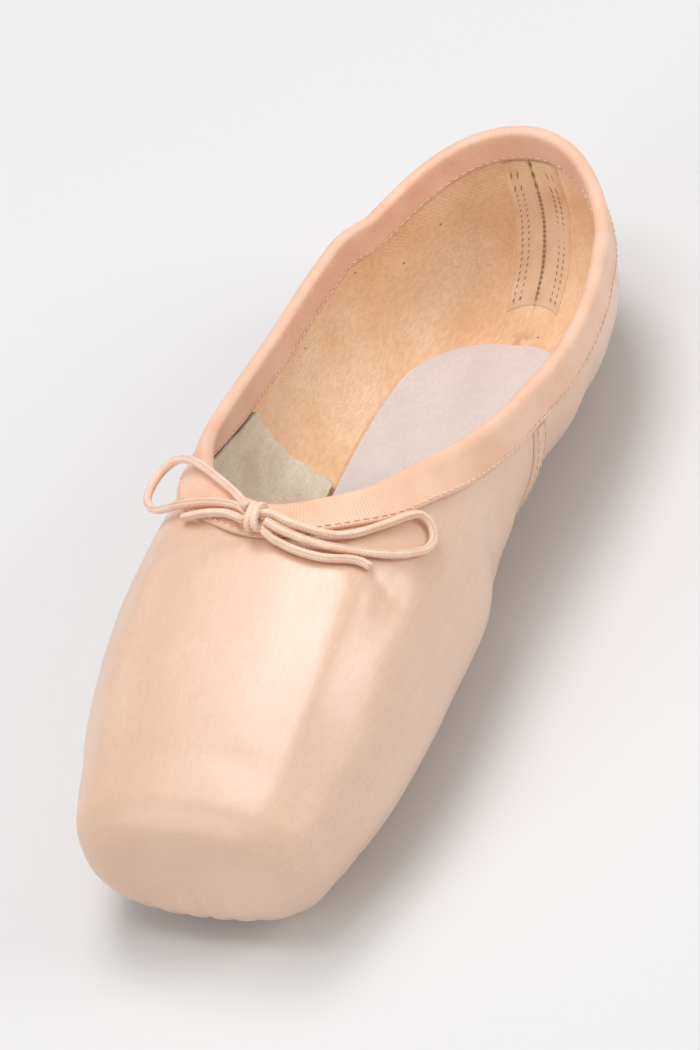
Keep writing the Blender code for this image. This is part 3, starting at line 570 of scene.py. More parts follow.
class Shader:
    """A node material: Principled, with short calls for the nodes that feed it."""

    def __init__(self, name, roughness=0.5, **sockets):
        self.material = bpy.data.materials.new(name)
        self.material.use_nodes = True
        self.tree = self.material.node_tree
        self.main = next(n for n in self.tree.nodes if n.type == "BSDF_PRINCIPLED")
        self.main.inputs["Roughness"].default_value = roughness
        for key, value in sockets.items():
            self.main.inputs[key.replace("_", " ")].default_value = value

    def node(self, kind, **values):
        made = self.tree.nodes.new("ShaderNode" + kind)
        for key, value in values.items():
            setattr(made, key, value)
        return made

    def feed(self, socket, value):
        """Links the value to the socket, or sets it there. A tuple is a colour."""
        if isinstance(value, bpy.types.NodeSocket):
            self.tree.links.new(value, socket)
        else:
            socket.default_value = (*value, 1.0) if isinstance(value, tuple) else value

    def place(self, *scale):
        """The point in the shoe's own metres, scaled."""
        scaled = self.node("VectorMath", operation="MULTIPLY")
        self.feed(scaled.inputs[0], self.node("TexCoord").outputs["Object"])
        scaled.inputs[1].default_value = scale
        return scaled.outputs[0]

    def cloth(self):
        """How far along and across its cloth the point lies, in metres."""
        made = self.node("SeparateXYZ")
        self.feed(made.inputs[0], self.node("Attribute", attribute_name="cloth").outputs["Vector"])
        return made.outputs[:2]

    def noise(self, *scale, detail=2.0, roughness=0.5):
        made = self.node("TexNoise")
        self.feed(made.inputs["Vector"], self.place(*scale))
        made.inputs["Scale"].default_value = 1.0
        made.inputs["Detail"].default_value = detail
        made.inputs["Roughness"].default_value = roughness
        return made.outputs["Fac"]

    def math(self, operation, *values):
        made = self.node("Math", operation=operation)
        for socket, value in zip(made.inputs, values):
            self.feed(socket, value)
        return made.outputs[0]

    def ramp(self, value, low, high, start=0.0, end=1.0):
        made = self.node("MapRange", interpolation_type="SMOOTHSTEP")
        for socket, number in zip(made.inputs[:5], (value, low, high, start, end)):
            self.feed(socket, number)
        return made.outputs[0]

    def wave(self, value, length):
        return self.math("SINE", self.math("MULTIPLY", value, 2 * np.pi / length))

    def mix(self, share, first, second):
        made = self.node("Mix", data_type="RGBA")
        for place, value in ((0, share), (6, first), (7, second)):
            self.feed(made.inputs[place], value)
        return made.outputs[2]

    def blend(self, pattern, low, high, first, second):
        """From the first colour to the second as the pattern goes from low to high."""
        return self.mix(self.ramp(pattern, low, high), first, second)

    def shade(self, pattern, low, high, keep, dark, tint):
        """The tint, and where the pattern is low the dark colour with this share of the tint."""
        return self.blend(pattern, low, high, self.mix(keep, dark, tint), tint)

    def bump(self, height, depth, strength):
        made = self.node("Bump")
        self.feed(made.inputs["Height"], height)
        made.inputs["Distance"].default_value = depth
        made.inputs["Strength"].default_value = strength
        previous = self.main.inputs["Normal"].links
        if previous:
            self.tree.links.new(previous[0].from_socket, made.inputs["Normal"])
        self.tree.links.new(made.outputs[0], self.main.inputs["Normal"])

    def colour(self, value):
        self.feed(self.main.inputs["Base Color"], value)

    def roughness(self, value):
        self.feed(self.main.inputs["Roughness"], value)


def srgb(red, green, blue):
    """Linear colour from the usual 0 to 255."""
    share = np.array((red, green, blue)) / 255
    linear = np.where(share <= 0.04045, share / 12.92, ((share + 0.055) / 1.055) ** 2.4)
    return tuple(linear.tolist())


def satin_material():
    made = Shader("satin", 0.38, Sheen_Weight=0.15, Sheen_Roughness=0.3, Specular_IOR_Level=0.85,
                  Coat_Weight=0.4, Coat_Roughness=0.38, Sheen_Tint=(1.0, 0.84, 0.80, 1.0),
                  Specular_Tint=(1.0, 0.88, 0.92, 1.0))
    warp = made.noise(2400, 200, 2400, detail=3)
    weft = made.noise(240, 2400, 240)
    broad = made.noise(24, 15, 24, detail=3)
    tint = made.blend(broad, 0.3, 0.7, srgb(226, 189, 160), srgb(236, 204, 179))
    streak = made.noise(850, 40, 850, detail=3)
    tint = made.shade(streak, 0.35, 0.65, 0.9, srgb(205, 158, 122), tint)
    made.colour(made.shade(warp, 0.3, 0.75, 0.8, srgb(205, 164, 134), tint))
    made.roughness(made.ramp(warp, 0.3, 0.7, 0.31, 0.43))
    made.bump(made.math("ADD", warp, made.math("MULTIPLY", weft, 0.7)), 0.04 * MM, 0.6)
    made.bump(streak, 0.06 * MM, 0.5)
    made.bump(made.noise(110, 60, 110), 0.3 * MM, 0.4)
    return made.material


def ribbon_material():
    made = Shader("ribbon", 0.5, Sheen_Weight=0.3, Sheen_Roughness=0.5)
    along, across = made.cloth()
    cross = made.math("MULTIPLY", made.wave(across, 0.8 * MM), 0.25)
    weave = made.math("MULTIPLY", made.wave(along, 0.75 * MM), made.math("ADD", 0.75, cross))
    cloudy = made.noise(90, 90, 90, detail=3)
    tint = made.blend(cloudy, 0.3, 0.7, srgb(242, 192, 160), srgb(248, 206, 178))
    made.colour(made.shade(weave, -1, 1, 0.82, srgb(210, 150, 120), tint))
    made.bump(weave, 0.07 * MM, 0.7)
    made.bump(made.noise(1500, 1500, 1500), 0.05 * MM, 0.5)
    return made.material


def cord_material():
    made = Shader("cord", 0.5, Sheen_Weight=0.3, Sheen_Roughness=0.5, Subsurface_Weight=0.15,
                  Subsurface_Radius=(1.0, 0.5, 0.3), Subsurface_Scale=0.6 * MM)
    along, around = made.cloth()
    phase = made.math("MULTIPLY", along, 2 * np.pi / (0.9 * MM))
    lean = made.math("MULTIPLY", around, 4.0)
    first, second = (made.math("SINE", made.math(way, phase, lean)) for way in ("ADD", "SUBTRACT"))
    braid = made.math("MAXIMUM", first, second)
    cloudy = made.noise(160, 160, 160, detail=3)
    tint = made.blend(cloudy, 0.3, 0.7, srgb(250, 206, 176), srgb(254, 222, 200))
    made.colour(made.shade(braid, -0.6, 1, 0.8, srgb(228, 168, 134), tint))
    made.bump(braid, 0.09 * MM, 0.7)
    return made.material


def cut_end_material():
    made = Shader("cord_core", 0.8)
    fibres = made.noise(2500, 2500, 2500)
    made.colour(made.blend(fibres, 0.4, 0.6, srgb(225, 195, 170), srgb(250, 235, 220)))
    return made.material


def lining_material():
    made = Shader("lining", 0.6, Sheen_Weight=0.2, Specular_IOR_Level=0.4)
    broad = made.noise(38, 24, 38, detail=4, roughness=0.6)
    tint = made.blend(broad, 0.3, 0.7, srgb(240, 196, 152), srgb(252, 224, 190))
    along, across = made.cloth()
    slant = made.math("ADD", along, made.math("MULTIPLY", across, 1.6))
    ribs = made.math("MULTIPLY", made.wave(slant, 1.1 * MM), 0.12)
    twill = made.math("ADD", ribs, made.noise(1300, 420, 1300, detail=3))
    tint = made.shade(twill, 0.3, 0.7, 0.72, srgb(190, 138, 94), tint)
    speck = made.node("TexVoronoi", feature="F1")
    made.feed(speck.inputs["Vector"], made.place(150, 150, 150))
    speck.inputs["Scale"].default_value = 1.0
    holes = made.ramp(speck.outputs["Distance"], 0.035, 0.06)
    made.colour(made.mix(holes, srgb(160, 110, 70), tint))
    made.bump(holes, 0.12 * MM, 0.5)
    made.bump(twill, 0.2 * MM, 0.7)
    made.bump(broad, 1.6 * MM, 0.6)
    return made.material


def canvas_material():
    made = Shader("canvas", 0.85, Sheen_Weight=0.15)
    broad = made.noise(60, 40, 60, detail=4, roughness=0.6)
    fine = made.noise(1300, 1300, 1300, detail=3)
    tint = made.blend(broad, 0.3, 0.7, srgb(212, 198, 172), srgb(236, 226, 206))
    made.colour(made.shade(fine, 0.3, 0.7, 0.8, srgb(150, 130, 104), tint))
    made.bump(fine, 0.2 * MM, 0.6)
    made.bump(broad, 2.2 * MM, 0.8)
    return made.material


def tape_material():
    made = Shader("tape", 0.8, Sheen_Weight=0.15)
    twill = made.wave(made.math("ADD", *made.cloth()), 0.8 * MM)
    cloudy = made.noise(120, 120, 120, detail=3)
    tint = made.blend(cloudy, 0.3, 0.7, srgb(243, 203, 162), srgb(252, 222, 188))
    made.colour(made.shade(twill, -1, 1, 0.88, srgb(190, 140, 98), tint))
    made.bump(twill, 0.1 * MM, 0.7)
    return made.material


def suede_material():
    made = Shader("suede", 0.95, Sheen_Weight=0.3, Sheen_Roughness=0.6)
    nap = made.noise(900, 600, 900, detail=5, roughness=0.65)
    broad = made.noise(35, 20, 35, detail=3)
    tint = made.blend(broad, 0.3, 0.7, srgb(216, 205, 198), srgb(232, 222, 214))
    made.colour(made.shade(nap, 0.3, 0.75, 0.85, srgb(160, 150, 150), tint))
    made.bump(nap, 0.15 * MM, 0.6)
    return made.material


def leather_material(name, dark, light, roughness):
    made = Shader(name, roughness, Specular_IOR_Level=0.35)
    grain = made.noise(520, 380, 520, detail=6, roughness=0.65)
    broad = made.noise(40, 22, 40, detail=4, roughness=0.6)
    tint = made.blend(broad, 0.3, 0.72, dark, light)
    made.colour(made.shade(grain, 0.35, 0.75, 0.85, srgb(110, 70, 45), tint))
    made.roughness(made.ramp(grain, 0.3, 0.7, roughness - 0.06, roughness + 0.1))
    made.bump(grain, 0.12 * MM, 0.6)
    return made.material


def thread_material(name, tint):
    made = Shader(name, 0.5, Sheen_Weight=0.2)
    strand = made.noise(3000, 3000, 3000)
    made.colour(made.blend(strand, 0.35, 0.65, tuple(v * 0.8 for v in tint), tint))
    return made.material


def floor_material():
    made = Shader("floor", 0.6, Specular_IOR_Level=0.25)
    made.colour(made.mix(made.noise(3, 3, 3), srgb(222, 223, 223), srgb(225, 226, 225)))
    return made.material


def add_mesh(name, points, faces, materials, slots=None, cloth=None):
    mesh = bpy.data.meshes.new(name)
    mesh.from_pydata(np.asarray(points).tolist(), [], [list(map(int, face)) for face in faces])
    for material in materials:
        mesh.materials.append(material)
    if slots is not None:
        mesh.polygons.foreach_set("material_index", np.asarray(slots, np.int32))
    if cloth is not None:
        store = mesh.attributes.new("cloth", "FLOAT_VECTOR", "POINT")
        store.data.foreach_set("vector", np.asarray(cloth, np.float32).ravel())
    mesh.polygons.foreach_set("use_smooth", np.ones(len(mesh.polygons), bool))
    mesh.validate()
    obj = bpy.data.objects.new(name, mesh)
    bpy.context.scene.collection.objects.link(obj)
    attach(obj, "root")
    return obj


def quads_of(*corners):
    """Faces from the arrays of their four corners."""
    return np.stack(corners, -1).reshape(-1, 4)


def welded(grids):
    """Corners (run, turn) and faces of some grids, with the corners that coincide made one."""
    corners, quads, start = [], [], 0
    for grid in grids:
        rows, columns = grid.shape[:2]
        index = start + np.arange(rows * columns).reshape(rows, columns)
        quads.append(quads_of(index[:-1, :-1], index[:-1, 1:], index[1:, 1:], index[1:, :-1]))
        corners.append(grid.reshape(-1, 2))
        start += rows * columns
    corners = np.concatenate(corners)
    places = np.round(surface(corners[:, 0], corners[:, 1]) * 1e6).astype(np.int64)
    _, first, index = np.unique(places, axis=0, return_index=True, return_inverse=True)
    faces = []
    for quad in index.reshape(-1)[np.concatenate(quads)].tolist():
        face = list(dict.fromkeys(quad))
        if len(face) > 2:
            faces.append(face)
    return corners[first], faces


def open_edges(faces):
    seen = {(a, b) for face in faces for a, b in zip(face, face[1:] + face[:1])}
    return [(a, b) for a, b in seen if (b, a) not in seen]


def shell(name, grids, outside, inside, materials):
    """A closed layer of the last: outside and inside give the height at each corner. The materials are
    those of the outside, the inside and the rim."""
    corners, faces = welded(grids)
    run, turn = corners.T
    outer = layer_point(run, turn, outside(run, turn))
    inner = layer_point(run, turn, inside(run, turn))
    count = len(corners)
    solid = faces + [[v + count for v in face[::-1]] for face in faces]
    rim = [[b, a, a + count, b + count] for a, b in open_edges(faces)]
    slots = [0] * len(faces) + [1] * len(faces) + [2] * len(rim)
    points = np.concatenate((outer, inner))
    sample = np.array([face[:3] for face in faces])
    a, b, c = outer[sample[:, 0]], outer[sample[:, 1]], outer[sample[:, 2]]
    facing = np.sum(np.cross(b - a, c - a) * normal(run, turn)[sample[:, 0]])
    solid += rim
    if facing < 0:
        solid = [face[::-1] for face in solid]
    cloth = np.stack((run, (1 - turn) * HALF_GIRTH, np.zeros(count)), axis=-1)
    return add_mesh(name, points, solid, materials, slots, np.concatenate((cloth, cloth)))


def level(height):
    return lambda run, turn: np.full(np.shape(run), height)


def both_sides(grid):
    left = grid[:, ::-1].copy()
    left[..., 1] = 2 - left[..., 1]
    return [grid, left]


def grid_of(runs, turns):
    return np.stack(np.broadcast_arrays(runs, turns), axis=-1)


def under_turns(low):
    low = np.asarray(low)[:, None]
    return low + (INSOLE_TURN - low) * np.linspace(0, 1, UNDER_COLUMNS + 1)


def side_runs():
    station = THROAT + (1 - THROAT) * SHOULDER_REACH**2
    side = np.linspace(station, HEEL_AXIS, SIDE_ROWS + 1)
    heel = np.linspace(HEEL_START, BACK_CENTRE, HEEL_ROWS + 1)[1:]
    return np.concatenate((run_of(side), heel))


def vamp_turns():
    shoulder = smooth(COLLAR, 1, SHOULDER_REACH)
    side = np.linspace(INSOLE_TURN, shoulder, SIDE_COLUMNS + 1)
    return np.concatenate((side, np.linspace(shoulder, 1, TOP_COLUMNS + 1)[1:]))


def vamp_rows(bound):
    cap = np.linspace(0, CAP_RUN, CAP_ROWS + 1)[:-1]
    front = np.concatenate((cap, np.linspace(CAP_RUN, EDGE_END, EDGE_ROWS + 1)))
    rows = [np.full(len(bound), run) for run in front]
    rows += [front[-1] + (bound - front[-1]) * part for part in np.linspace(0, 1, VAMP_ROWS + 1)[1:]]
    return np.array(rows)


def throat_runs(turns):
    reach = np.linspace(SHOULDER_REACH, 0, 2000)
    found = np.interp(turns, smooth(COLLAR, 1, reach), reach)
    return run_of(THROAT + (1 - THROAT) * found**2)


def bell(distance, width):
    return np.exp(-((distance / width) ** 2))


def step(value, low, high):
    share = np.clip((value - low) / (high - low), 0, 1)
    return share * share * (3 - 2 * share)


# Soft creases on both sides: station and round at one end, then at the other, then width and height
# in mm. Round is the way from the top centre, as a share of the half girth
SATIN_CREASES = (
    (0.290, 0.205, 0.050, 0.215, 4.4, 1.0),
    (0.310, 0.275, 0.240, 0.265, 3.2, -1.0),
    (0.200, 0.30, 0.060, 0.30, 7.0, -0.5),
    (0.300, 0.03, 0.270, 0.16, 2.6, -0.45),
    (0.285, 0.10, 0.262, 0.22, 2.2, 0.35),
    (0.300, 0.12, 0.275, 0.30, 1.8, -0.30),
    (0.075, 0.03, 0.055, 0.21, 4.2, -0.42),
    (0.075, 0.34, 0.120, 0.52, 4.0, -0.45),
    (0.330, 0.34, 0.300, 0.62, 6.0, -0.6),
    (0.420, 0.38, 0.390, 0.66, 5.0, 0.5),
    (0.470, 0.44, 0.430, 0.66, 5.0, -0.6),
    (0.520, 0.46, 0.500, 0.70, 4.0, 0.5),
    (0.640, 0.47, 0.610, 0.66, 4.0, -0.6),
    (0.700, 0.50, 0.660, 0.72, 5.0, 0.6),
    (0.760, 0.52, 0.700, 0.74, 3.6, -0.6),
)
LINING_CREASES = (
    (0.400, 0.40, 0.440, 0.72, 3.4, 0.5),
    (0.440, 0.42, 0.500, 0.70, 3.0, -0.22),
    (0.530, 0.44, 0.560, 0.74, 4.5, 0.4),
    (0.620, 0.50, 0.740, 0.66, 3.5, 0.4),
    (0.700, 0.48, 0.800, 0.60, 3.0, -0.35),
)


def crease_height(run, turn, creases):
    along, around = station_of(run) * LENGTH, np.abs(1 - turn) * HALF_GIRTH
    total = np.zeros(np.shape(run))
    for s0, r0, s1, r1, width, height in creases:
        start = np.array((s0 * LENGTH, r0 * HALF_GIRTH))
        way = np.array((s1 * LENGTH, r1 * HALF_GIRTH)) - start
        off_along, off_around = along - start[0], around - start[1]
        share = np.clip((off_along * way[0] + off_around * way[1]) / np.dot(way, way), 0, 1)
        distance = np.hypot(off_along - share * way[0], off_around - share * way[1])
        total += height * MM * bell(distance, width * MM) * (0.35 + 0.65 * np.sin(np.pi * share))
    return total


# Pleats at the outsole's toe and heel: the station they fan from, their count, reach and depth, and
# the way they open along Y
PLEATS = (
    (OUTSOLE_START + 0.02, 22, 34 * MM, 0.55 * MM, -1),
    (OUTSOLE_END - 0.035, 20, 36 * MM, 0.9 * MM, 1),
)


def fan_folds(place, centre_station, count, reach, depth, ahead):
    """Pleats that fan out from an end of the outsole."""
    x = place[..., 0]
    y = (place[..., 1] + LENGTH / 2 - centre_station * LENGTH) * ahead
    angle = np.arctan2(x, y)
    distance = np.hypot(x, y)
    folds = np.abs(np.sin(angle * count / 2 + 0.6 * np.sin(3 * angle))) ** 0.6
    low = 1 - step(place[..., 2], 0.35 * reach, 0.8 * reach)
    near = step(distance, 0.15 * reach, 0.35 * reach)
    near = near * (1 - step(distance, 0.75 * reach, 1.15 * reach))
    return -depth * (1 - folds) * near * low * step(y, -0.2 * reach, 0.2 * reach)


def satin_height(run, turn):
    place = surface(run, turn)
    height = crease_height(run, turn, SATIN_CREASES)
    for pleats in PLEATS:
        height += fan_folds(place, *pleats)
    return height


def lining_height(run, turn):
    ripple = np.sin(turn * 31 + 2.0 * np.sin(run * 60)) * np.sin(run * 95 + turn * 6)
    return -UPPER_WALL + 0.15 * MM * ripple + crease_height(run, turn, LINING_CREASES)


def add_upper(satin, lining):
    turns = vamp_turns()
    rows = vamp_rows(throat_runs(turns))
    side = side_runs()
    rise = (collar_turn(side) - INSOLE_TURN)[:, None]
    halves = (
        grid_of(rows[:, :1], under_turns(lasting_turn(rows[:, 0]))),
        grid_of(rows, turns),
        grid_of(side[:, None], under_turns(lasting_turn(side))),
        grid_of(side[:, None], INSOLE_TURN + rise * np.linspace(0, 1, SIDE_COLUMNS + 1)),
    )
    grids = [grid for half in halves for grid in both_sides(half)]
    made = shell("satin_upper", grids, satin_height, lining_height, (satin, lining, satin))
    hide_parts("upper")


def collar_line(count_throat, count_side):
    """Runs and turns along the right half of the collar, from the throat to the centre back."""
    shoulder = smooth(COLLAR, 1, SHOULDER_REACH)
    turns = np.linspace(1, shoulder, count_throat)
    station = THROAT + (1 - THROAT) * SHOULDER_REACH**2
    side = np.linspace(run_of(station), BACK_CENTRE, count_side)[1:]
    return np.concatenate((throat_runs(turns), side)), np.concatenate((turns, collar_turn(side)))


def mirrored_line(points):
    """A half line on the right, from throat to back, made into the whole way round."""
    return np.concatenate((points, points[-2:0:-1] * TO_LEFT))


def add_loft(name, rings, materials, closed, slots=None, cloth=None):
    rings = np.asarray(rings)
    count, size = rings.shape[:2]
    index = np.arange(count * size).reshape(count, size)
    following = np.roll(index, -1, axis=0) if closed else index[1:]
    here = index if closed else index[:-1]
    quads = quads_of(here, np.roll(here, -1, axis=1), np.roll(following, -1, axis=1), following)
    faces = quads.tolist()
    if not closed:
        faces += [index[0][::-1].tolist(), index[-1].tolist()]
    points = rings.reshape(-1, 3)
    a, b, c = (points[quads[:, k]] for k in (0, 1, 2))
    middle = rings.mean(axis=1, keepdims=True)
    out = (rings - middle).reshape(-1, 3)
    if np.sum(np.cross(b - a, c - a) * out[quads[:, 0]]) < 0:
        faces = [face[::-1] for face in faces]
    return add_mesh(name, points, faces, materials, slots, cloth)


def add_binding(ribbon):
    runs, turns = collar_line(*BINDING_POINTS)
    edge, out, down = collar_frame(runs, turns)
    outside, inside = BINDING_GAP, -UPPER_WALL - BINDING_GAP
    outer_face, inner_face = BINDING_TOP, inside - BINDING_FABRIC
    middle, width = (outer_face + inner_face) / 2, (outer_face - inner_face) / 2

    def bead(depth):
        return BEAD_HEIGHT * bell(depth - BEAD_PLACE, BEAD_WIDTH)

    ring = [(BINDING_DEPTH, outside - 0.3 * MM)]
    for depth in BINDING_DEPTH * (1 - np.linspace(0, 1, 12)[:-1]):
        ring.append((depth, outer_face + bead(depth)))
    for angle in np.linspace(0, np.pi, 7):
        ring.append((-BINDING_TOP * np.sin(angle), middle + width * np.cos(angle)))
    for depth in BINDING_INSIDE * np.linspace(0, 1, 8)[1:]:
        ring.append((depth, inner_face - 0.4 * bead(depth)))
    ring += [(BINDING_INSIDE, inside + 0.2 * MM), (BINDING_INSIDE / 2, inside), (0, inside)]
    ring += [(0, outside), (BINDING_DEPTH / 2, outside)]
    way = lengths_along(edge)
    pucker = PUCKER_HEIGHT * np.sin(way / PUCKER_LENGTH) * np.sin(way / PUCKER_DRIFT + 1)
    half, cloth = [], []
    across = 0.0
    for k, (depth, height) in enumerate(ring):
        if depth > 0:
            at_run, at_turn = marched(runs, turns, down, depth)
            low = step(depth, 0.4 * BINDING_DEPTH, BINDING_DEPTH)
            half.append(layer_point(at_run, at_turn, height + pucker * low * np.sign(height)))
        else:
            half.append(edge - down * abs(depth) + out * height)
        if k:
            across += np.hypot(depth - ring[k - 1][0], height - ring[k - 1][1])
        cloth.append(np.stack((way, np.full(len(way), across), np.zeros(len(way))), axis=-1))
    half, cloth = np.stack(half, axis=1), np.stack(cloth, axis=1)
    rings = mirrored_line(half)
    cloth = np.concatenate((cloth, cloth[-2:0:-1])).reshape(-1, 3)
    made = add_loft("ribbon_binding", rings, (ribbon,), True, cloth=cloth)
    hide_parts("binding")
    return runs, turns, down


def add_tubes(name, lines, ups, radius, material):
    """Many short threads as one mesh. lines and ups are (threads, points, 3)."""
    lines, ups = np.asarray(lines), np.asarray(ups)
    count, size = lines.shape[:2]
    ahead = unit(np.gradient(lines, axis=1))
    side = unit(np.cross(ahead, ups))
    up = np.cross(side, ahead)
    ends = np.ones(size)
    ends[[0, -1]] = 0.45
    angle = np.linspace(0, 2 * np.pi, THREAD_SIDES, endpoint=False)
    ring = side[:, :, None] * np.cos(angle)[:, None] + up[:, :, None] * np.sin(angle)[:, None]
    points = lines[:, :, None] + ring * radius * ends[:, None, None]
    index = np.arange(count * size * THREAD_SIDES).reshape(count, size, THREAD_SIDES)
    here, there = index[:, :-1], index[:, 1:]
    quads = quads_of(here, there, np.roll(there, -1, axis=2), np.roll(here, -1, axis=2))
    faces = quads.tolist() + index[:, 0].tolist() + index[:, -1, ::-1].tolist()
    return add_mesh(name, points.reshape(-1, 3), faces, (material,))


def read_along(at, way, points):
    """Points of a line at some lengths along it."""
    return np.stack([np.interp(at, way, points[:, axis]) for axis in range(3)], axis=-1)


def stitches_along(points, ups, pitch, share):
    """Short threads along a line: each covers a share of the pitch and bows up from the cloth."""
    way = lengths_along(points)
    count = max(1, int(way[-1] / pitch))
    starts = (np.arange(count) + 0.5 - share / 2) * way[-1] / count
    at = starts[:, None] + np.linspace(0, share * way[-1] / count, THREAD_POINTS)
    up = unit(read_along(at, way, ups))
    rise = THREAD_BOW * np.sin(np.linspace(0, np.pi, THREAD_POINTS)) - 0.3 * THREAD_BOW
    return read_along(at, way, points) + up * rise[:, None], up


def mirror_threads(lines, ups):
    return np.concatenate((lines, lines * TO_LEFT)), np.concatenate((ups, ups * TO_LEFT))


def add_stitches(name, rows, pitch, share, radius, thread):
    """Rows of stitches on both sides of the shoe. Each row is a line and the directions up from it."""
    threads = [mirror_threads(*stitches_along(line, up, pitch, share)) for line, up in rows]
    lines, ups = (np.concatenate(part) for part in zip(*threads))
    return add_tubes(name, lines, ups, radius, thread)


def add_binding_stitches(runs, turns, down, thread):
    rows = []
    for depth, height, side in ((BINDING_DEPTH, BINDING_TOP + 0.16 * MM, 1),
                                (BINDING_INSIDE, -UPPER_WALL - BINDING_TOP - 0.12 * MM, -1)):
        at_run, at_turn = marched(runs, turns, down, depth - BINDING_MARGIN)
        line = layer_point(at_run, at_turn, np.full(len(runs), height))
        rows.append((line, normal(at_run, at_turn) * side))
    made = add_stitches("binding_stitches", rows, *BINDING_STITCHES, thread)


def add_toe_box(canvas):
    turn = vamp_turns()
    turn[0] += INSOLE_MARGIN
    runs, turns = collar_line(*WING_POINTS)
    down = collar_frame(runs, turns)[2]
    edge_run, edge_turn = marched(runs, turns, down, BINDING_INSIDE + BOX_CLEARANCE)
    lowest = int(np.argmin(edge_turn))
    by_collar = np.interp(turn, edge_turn[lowest::-1], edge_run[lowest::-1])
    end = np.minimum(by_collar, run_of(smooth(WING, 1, turn)))
    end = end + 0.5 * MM * np.sin(turn * 90)
    top = -UPPER_WALL - GAP

    def inside(run, turn):
        wave = np.sin(turn * 38 + 3 * np.sin(run * 45)) * np.sin(run * 70 + turn * 9)
        return top - BOX_LAYER + 0.35 * MM * wave

    made = shell("box_lining", both_sides(grid_of(vamp_rows(end), turn)), level(top), inside,
                 (canvas, canvas, canvas))
    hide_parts("toe_box")


def eased(start, end, count):
    """Stations from start to end, closer together at both ends."""
    return start + (end - start) * (1 - np.cos(np.linspace(0, np.pi, count))) / 2


def rounded_end(distance, reach, least):
    """Share of the full width at a distance from an end that is rounded over this reach."""
    share = np.clip(distance / reach, 0, 1)
    return least + (1 - least) * np.sqrt(1 - (1 - share) ** 2)


def add_insole(suede):
    station = eased(INSOLE_START, INSOLE_END, INSOLE_ROWS)
    toe = rounded_end(station - INSOLE_START, 2 * INSOLE_START, 0.55)
    heel = rounded_end(INSOLE_END - station, INSOLE_TURN / 2, 0.15)
    turn = (INSOLE_TURN * toe * heel)[:, None] * np.linspace(0, 1, INSOLE_COLUMNS)
    grid = grid_of(run_of(station)[:, None], turn)
    top = -UPPER_WALL - GAP
    made = shell("suede_insole", both_sides(grid), level(top), level(top - INSOLE_THICKNESS),
                 (suede, suede, suede))
    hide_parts("insole")


def add_outsole(leather, edge_leather):
    """Top, light cut edge and underside, lofted across the shoe."""
    station = eased(OUTSOLE_START, OUTSOLE_END, OUTSOLE_ROWS)
    toe = 1 - (1 - np.clip((station - OUTSOLE_START) / SOLE_TOE_ROUND, 0, 1)) ** 2
    heel = 1 - (1 - np.clip((OUTSOLE_END - station) / SOLE_HEEL_ROUND, 0, 1)) ** 2
    half = smooth(SOLE, 1, station) * BALL_WIDTH / 2 * np.sqrt(np.clip(toe * heel, 0.02, 1))
    across = np.sin(np.linspace(-1, 1, OUTSOLE_COLUMNS) * np.pi / 2)
    x = half[:, None] * across
    y = np.broadcast_to((station * LENGTH)[:, None], x.shape)
    top = bottom_height(x, y) - GAP
    flat = (section_values(np.minimum(station, HEEL_AXIS))["bottom"] - SOLE_CLEARANCE)[:, None]
    rim = top[:, -1:] - OUTSOLE_EDGE
    ramp = np.clip((np.abs(across) - SOLE_FLAT) / (1 - SOLE_FLAT), 0, 1) ** 2
    bottom = flat + (rim - flat) * ramp
    upper_side, under_side = (np.stack((x, y - LENGTH / 2, z), axis=-1) for z in (top, bottom))
    rings = np.concatenate((upper_side, under_side[:, ::-1]), axis=1)
    # The cut edge takes in the rim and the first facets under it
    slots = np.zeros((len(rings) - 1, rings.shape[1]), int)
    slots[:, [OUTSOLE_COLUMNS - 1, OUTSOLE_COLUMNS, -2, -1]] = 1
    slots = np.concatenate((slots.ravel(), (1, 1)))
    made = add_loft("leather_outsole", rings, (leather, edge_leather), False, slots)
    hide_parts("outsole")


def fan_runs(half_angle, share):
    """Runs at a share of a strip's half angle, which is its own on each row up the centre back."""
    return BACK_CENTRE - half_angle[:, None] * share / (np.pi / 2) * HEEL_RUN


def add_back_stay(satin, thread):
    binding_end = marched_turn(BACK_CENTRE, BINDING_DEPTH + GAP)
    start = turn_behind((OUTSOLE_END - HEEL_AXIS) * LENGTH + 4 * GAP)
    turn = np.linspace(start, binding_end, STAY_ROWS)
    half_width = STAY_WIDTH / 2 * (0.62 + 0.38 * np.linspace(0, 1, STAY_ROWS) ** 0.5)
    half_angle = half_width / back_radius(turn)
    grid = grid_of(fan_runs(half_angle, np.linspace(0, 1, STAY_COLUMNS)), turn[:, None])

    def outside(run, turn):
        return satin_height(run, turn) + GAP + STRIP_FABRIC + 0.08 * MM * np.sin(turn * 260)

    made = shell("back_strip", both_sides(grid), outside, satin_height, (satin, satin, satin))
    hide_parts("back_stay")
    run = fan_runs(half_angle, STAY_SHARE)[:, 0]
    line = layer_point(run, turn, satin_height(run, turn) + GAP + STRIP_FABRIC)
    rows = [(line, normal(run, turn))]
    add_stitches("back_stitches", rows, *STAY_STITCHES, thread)


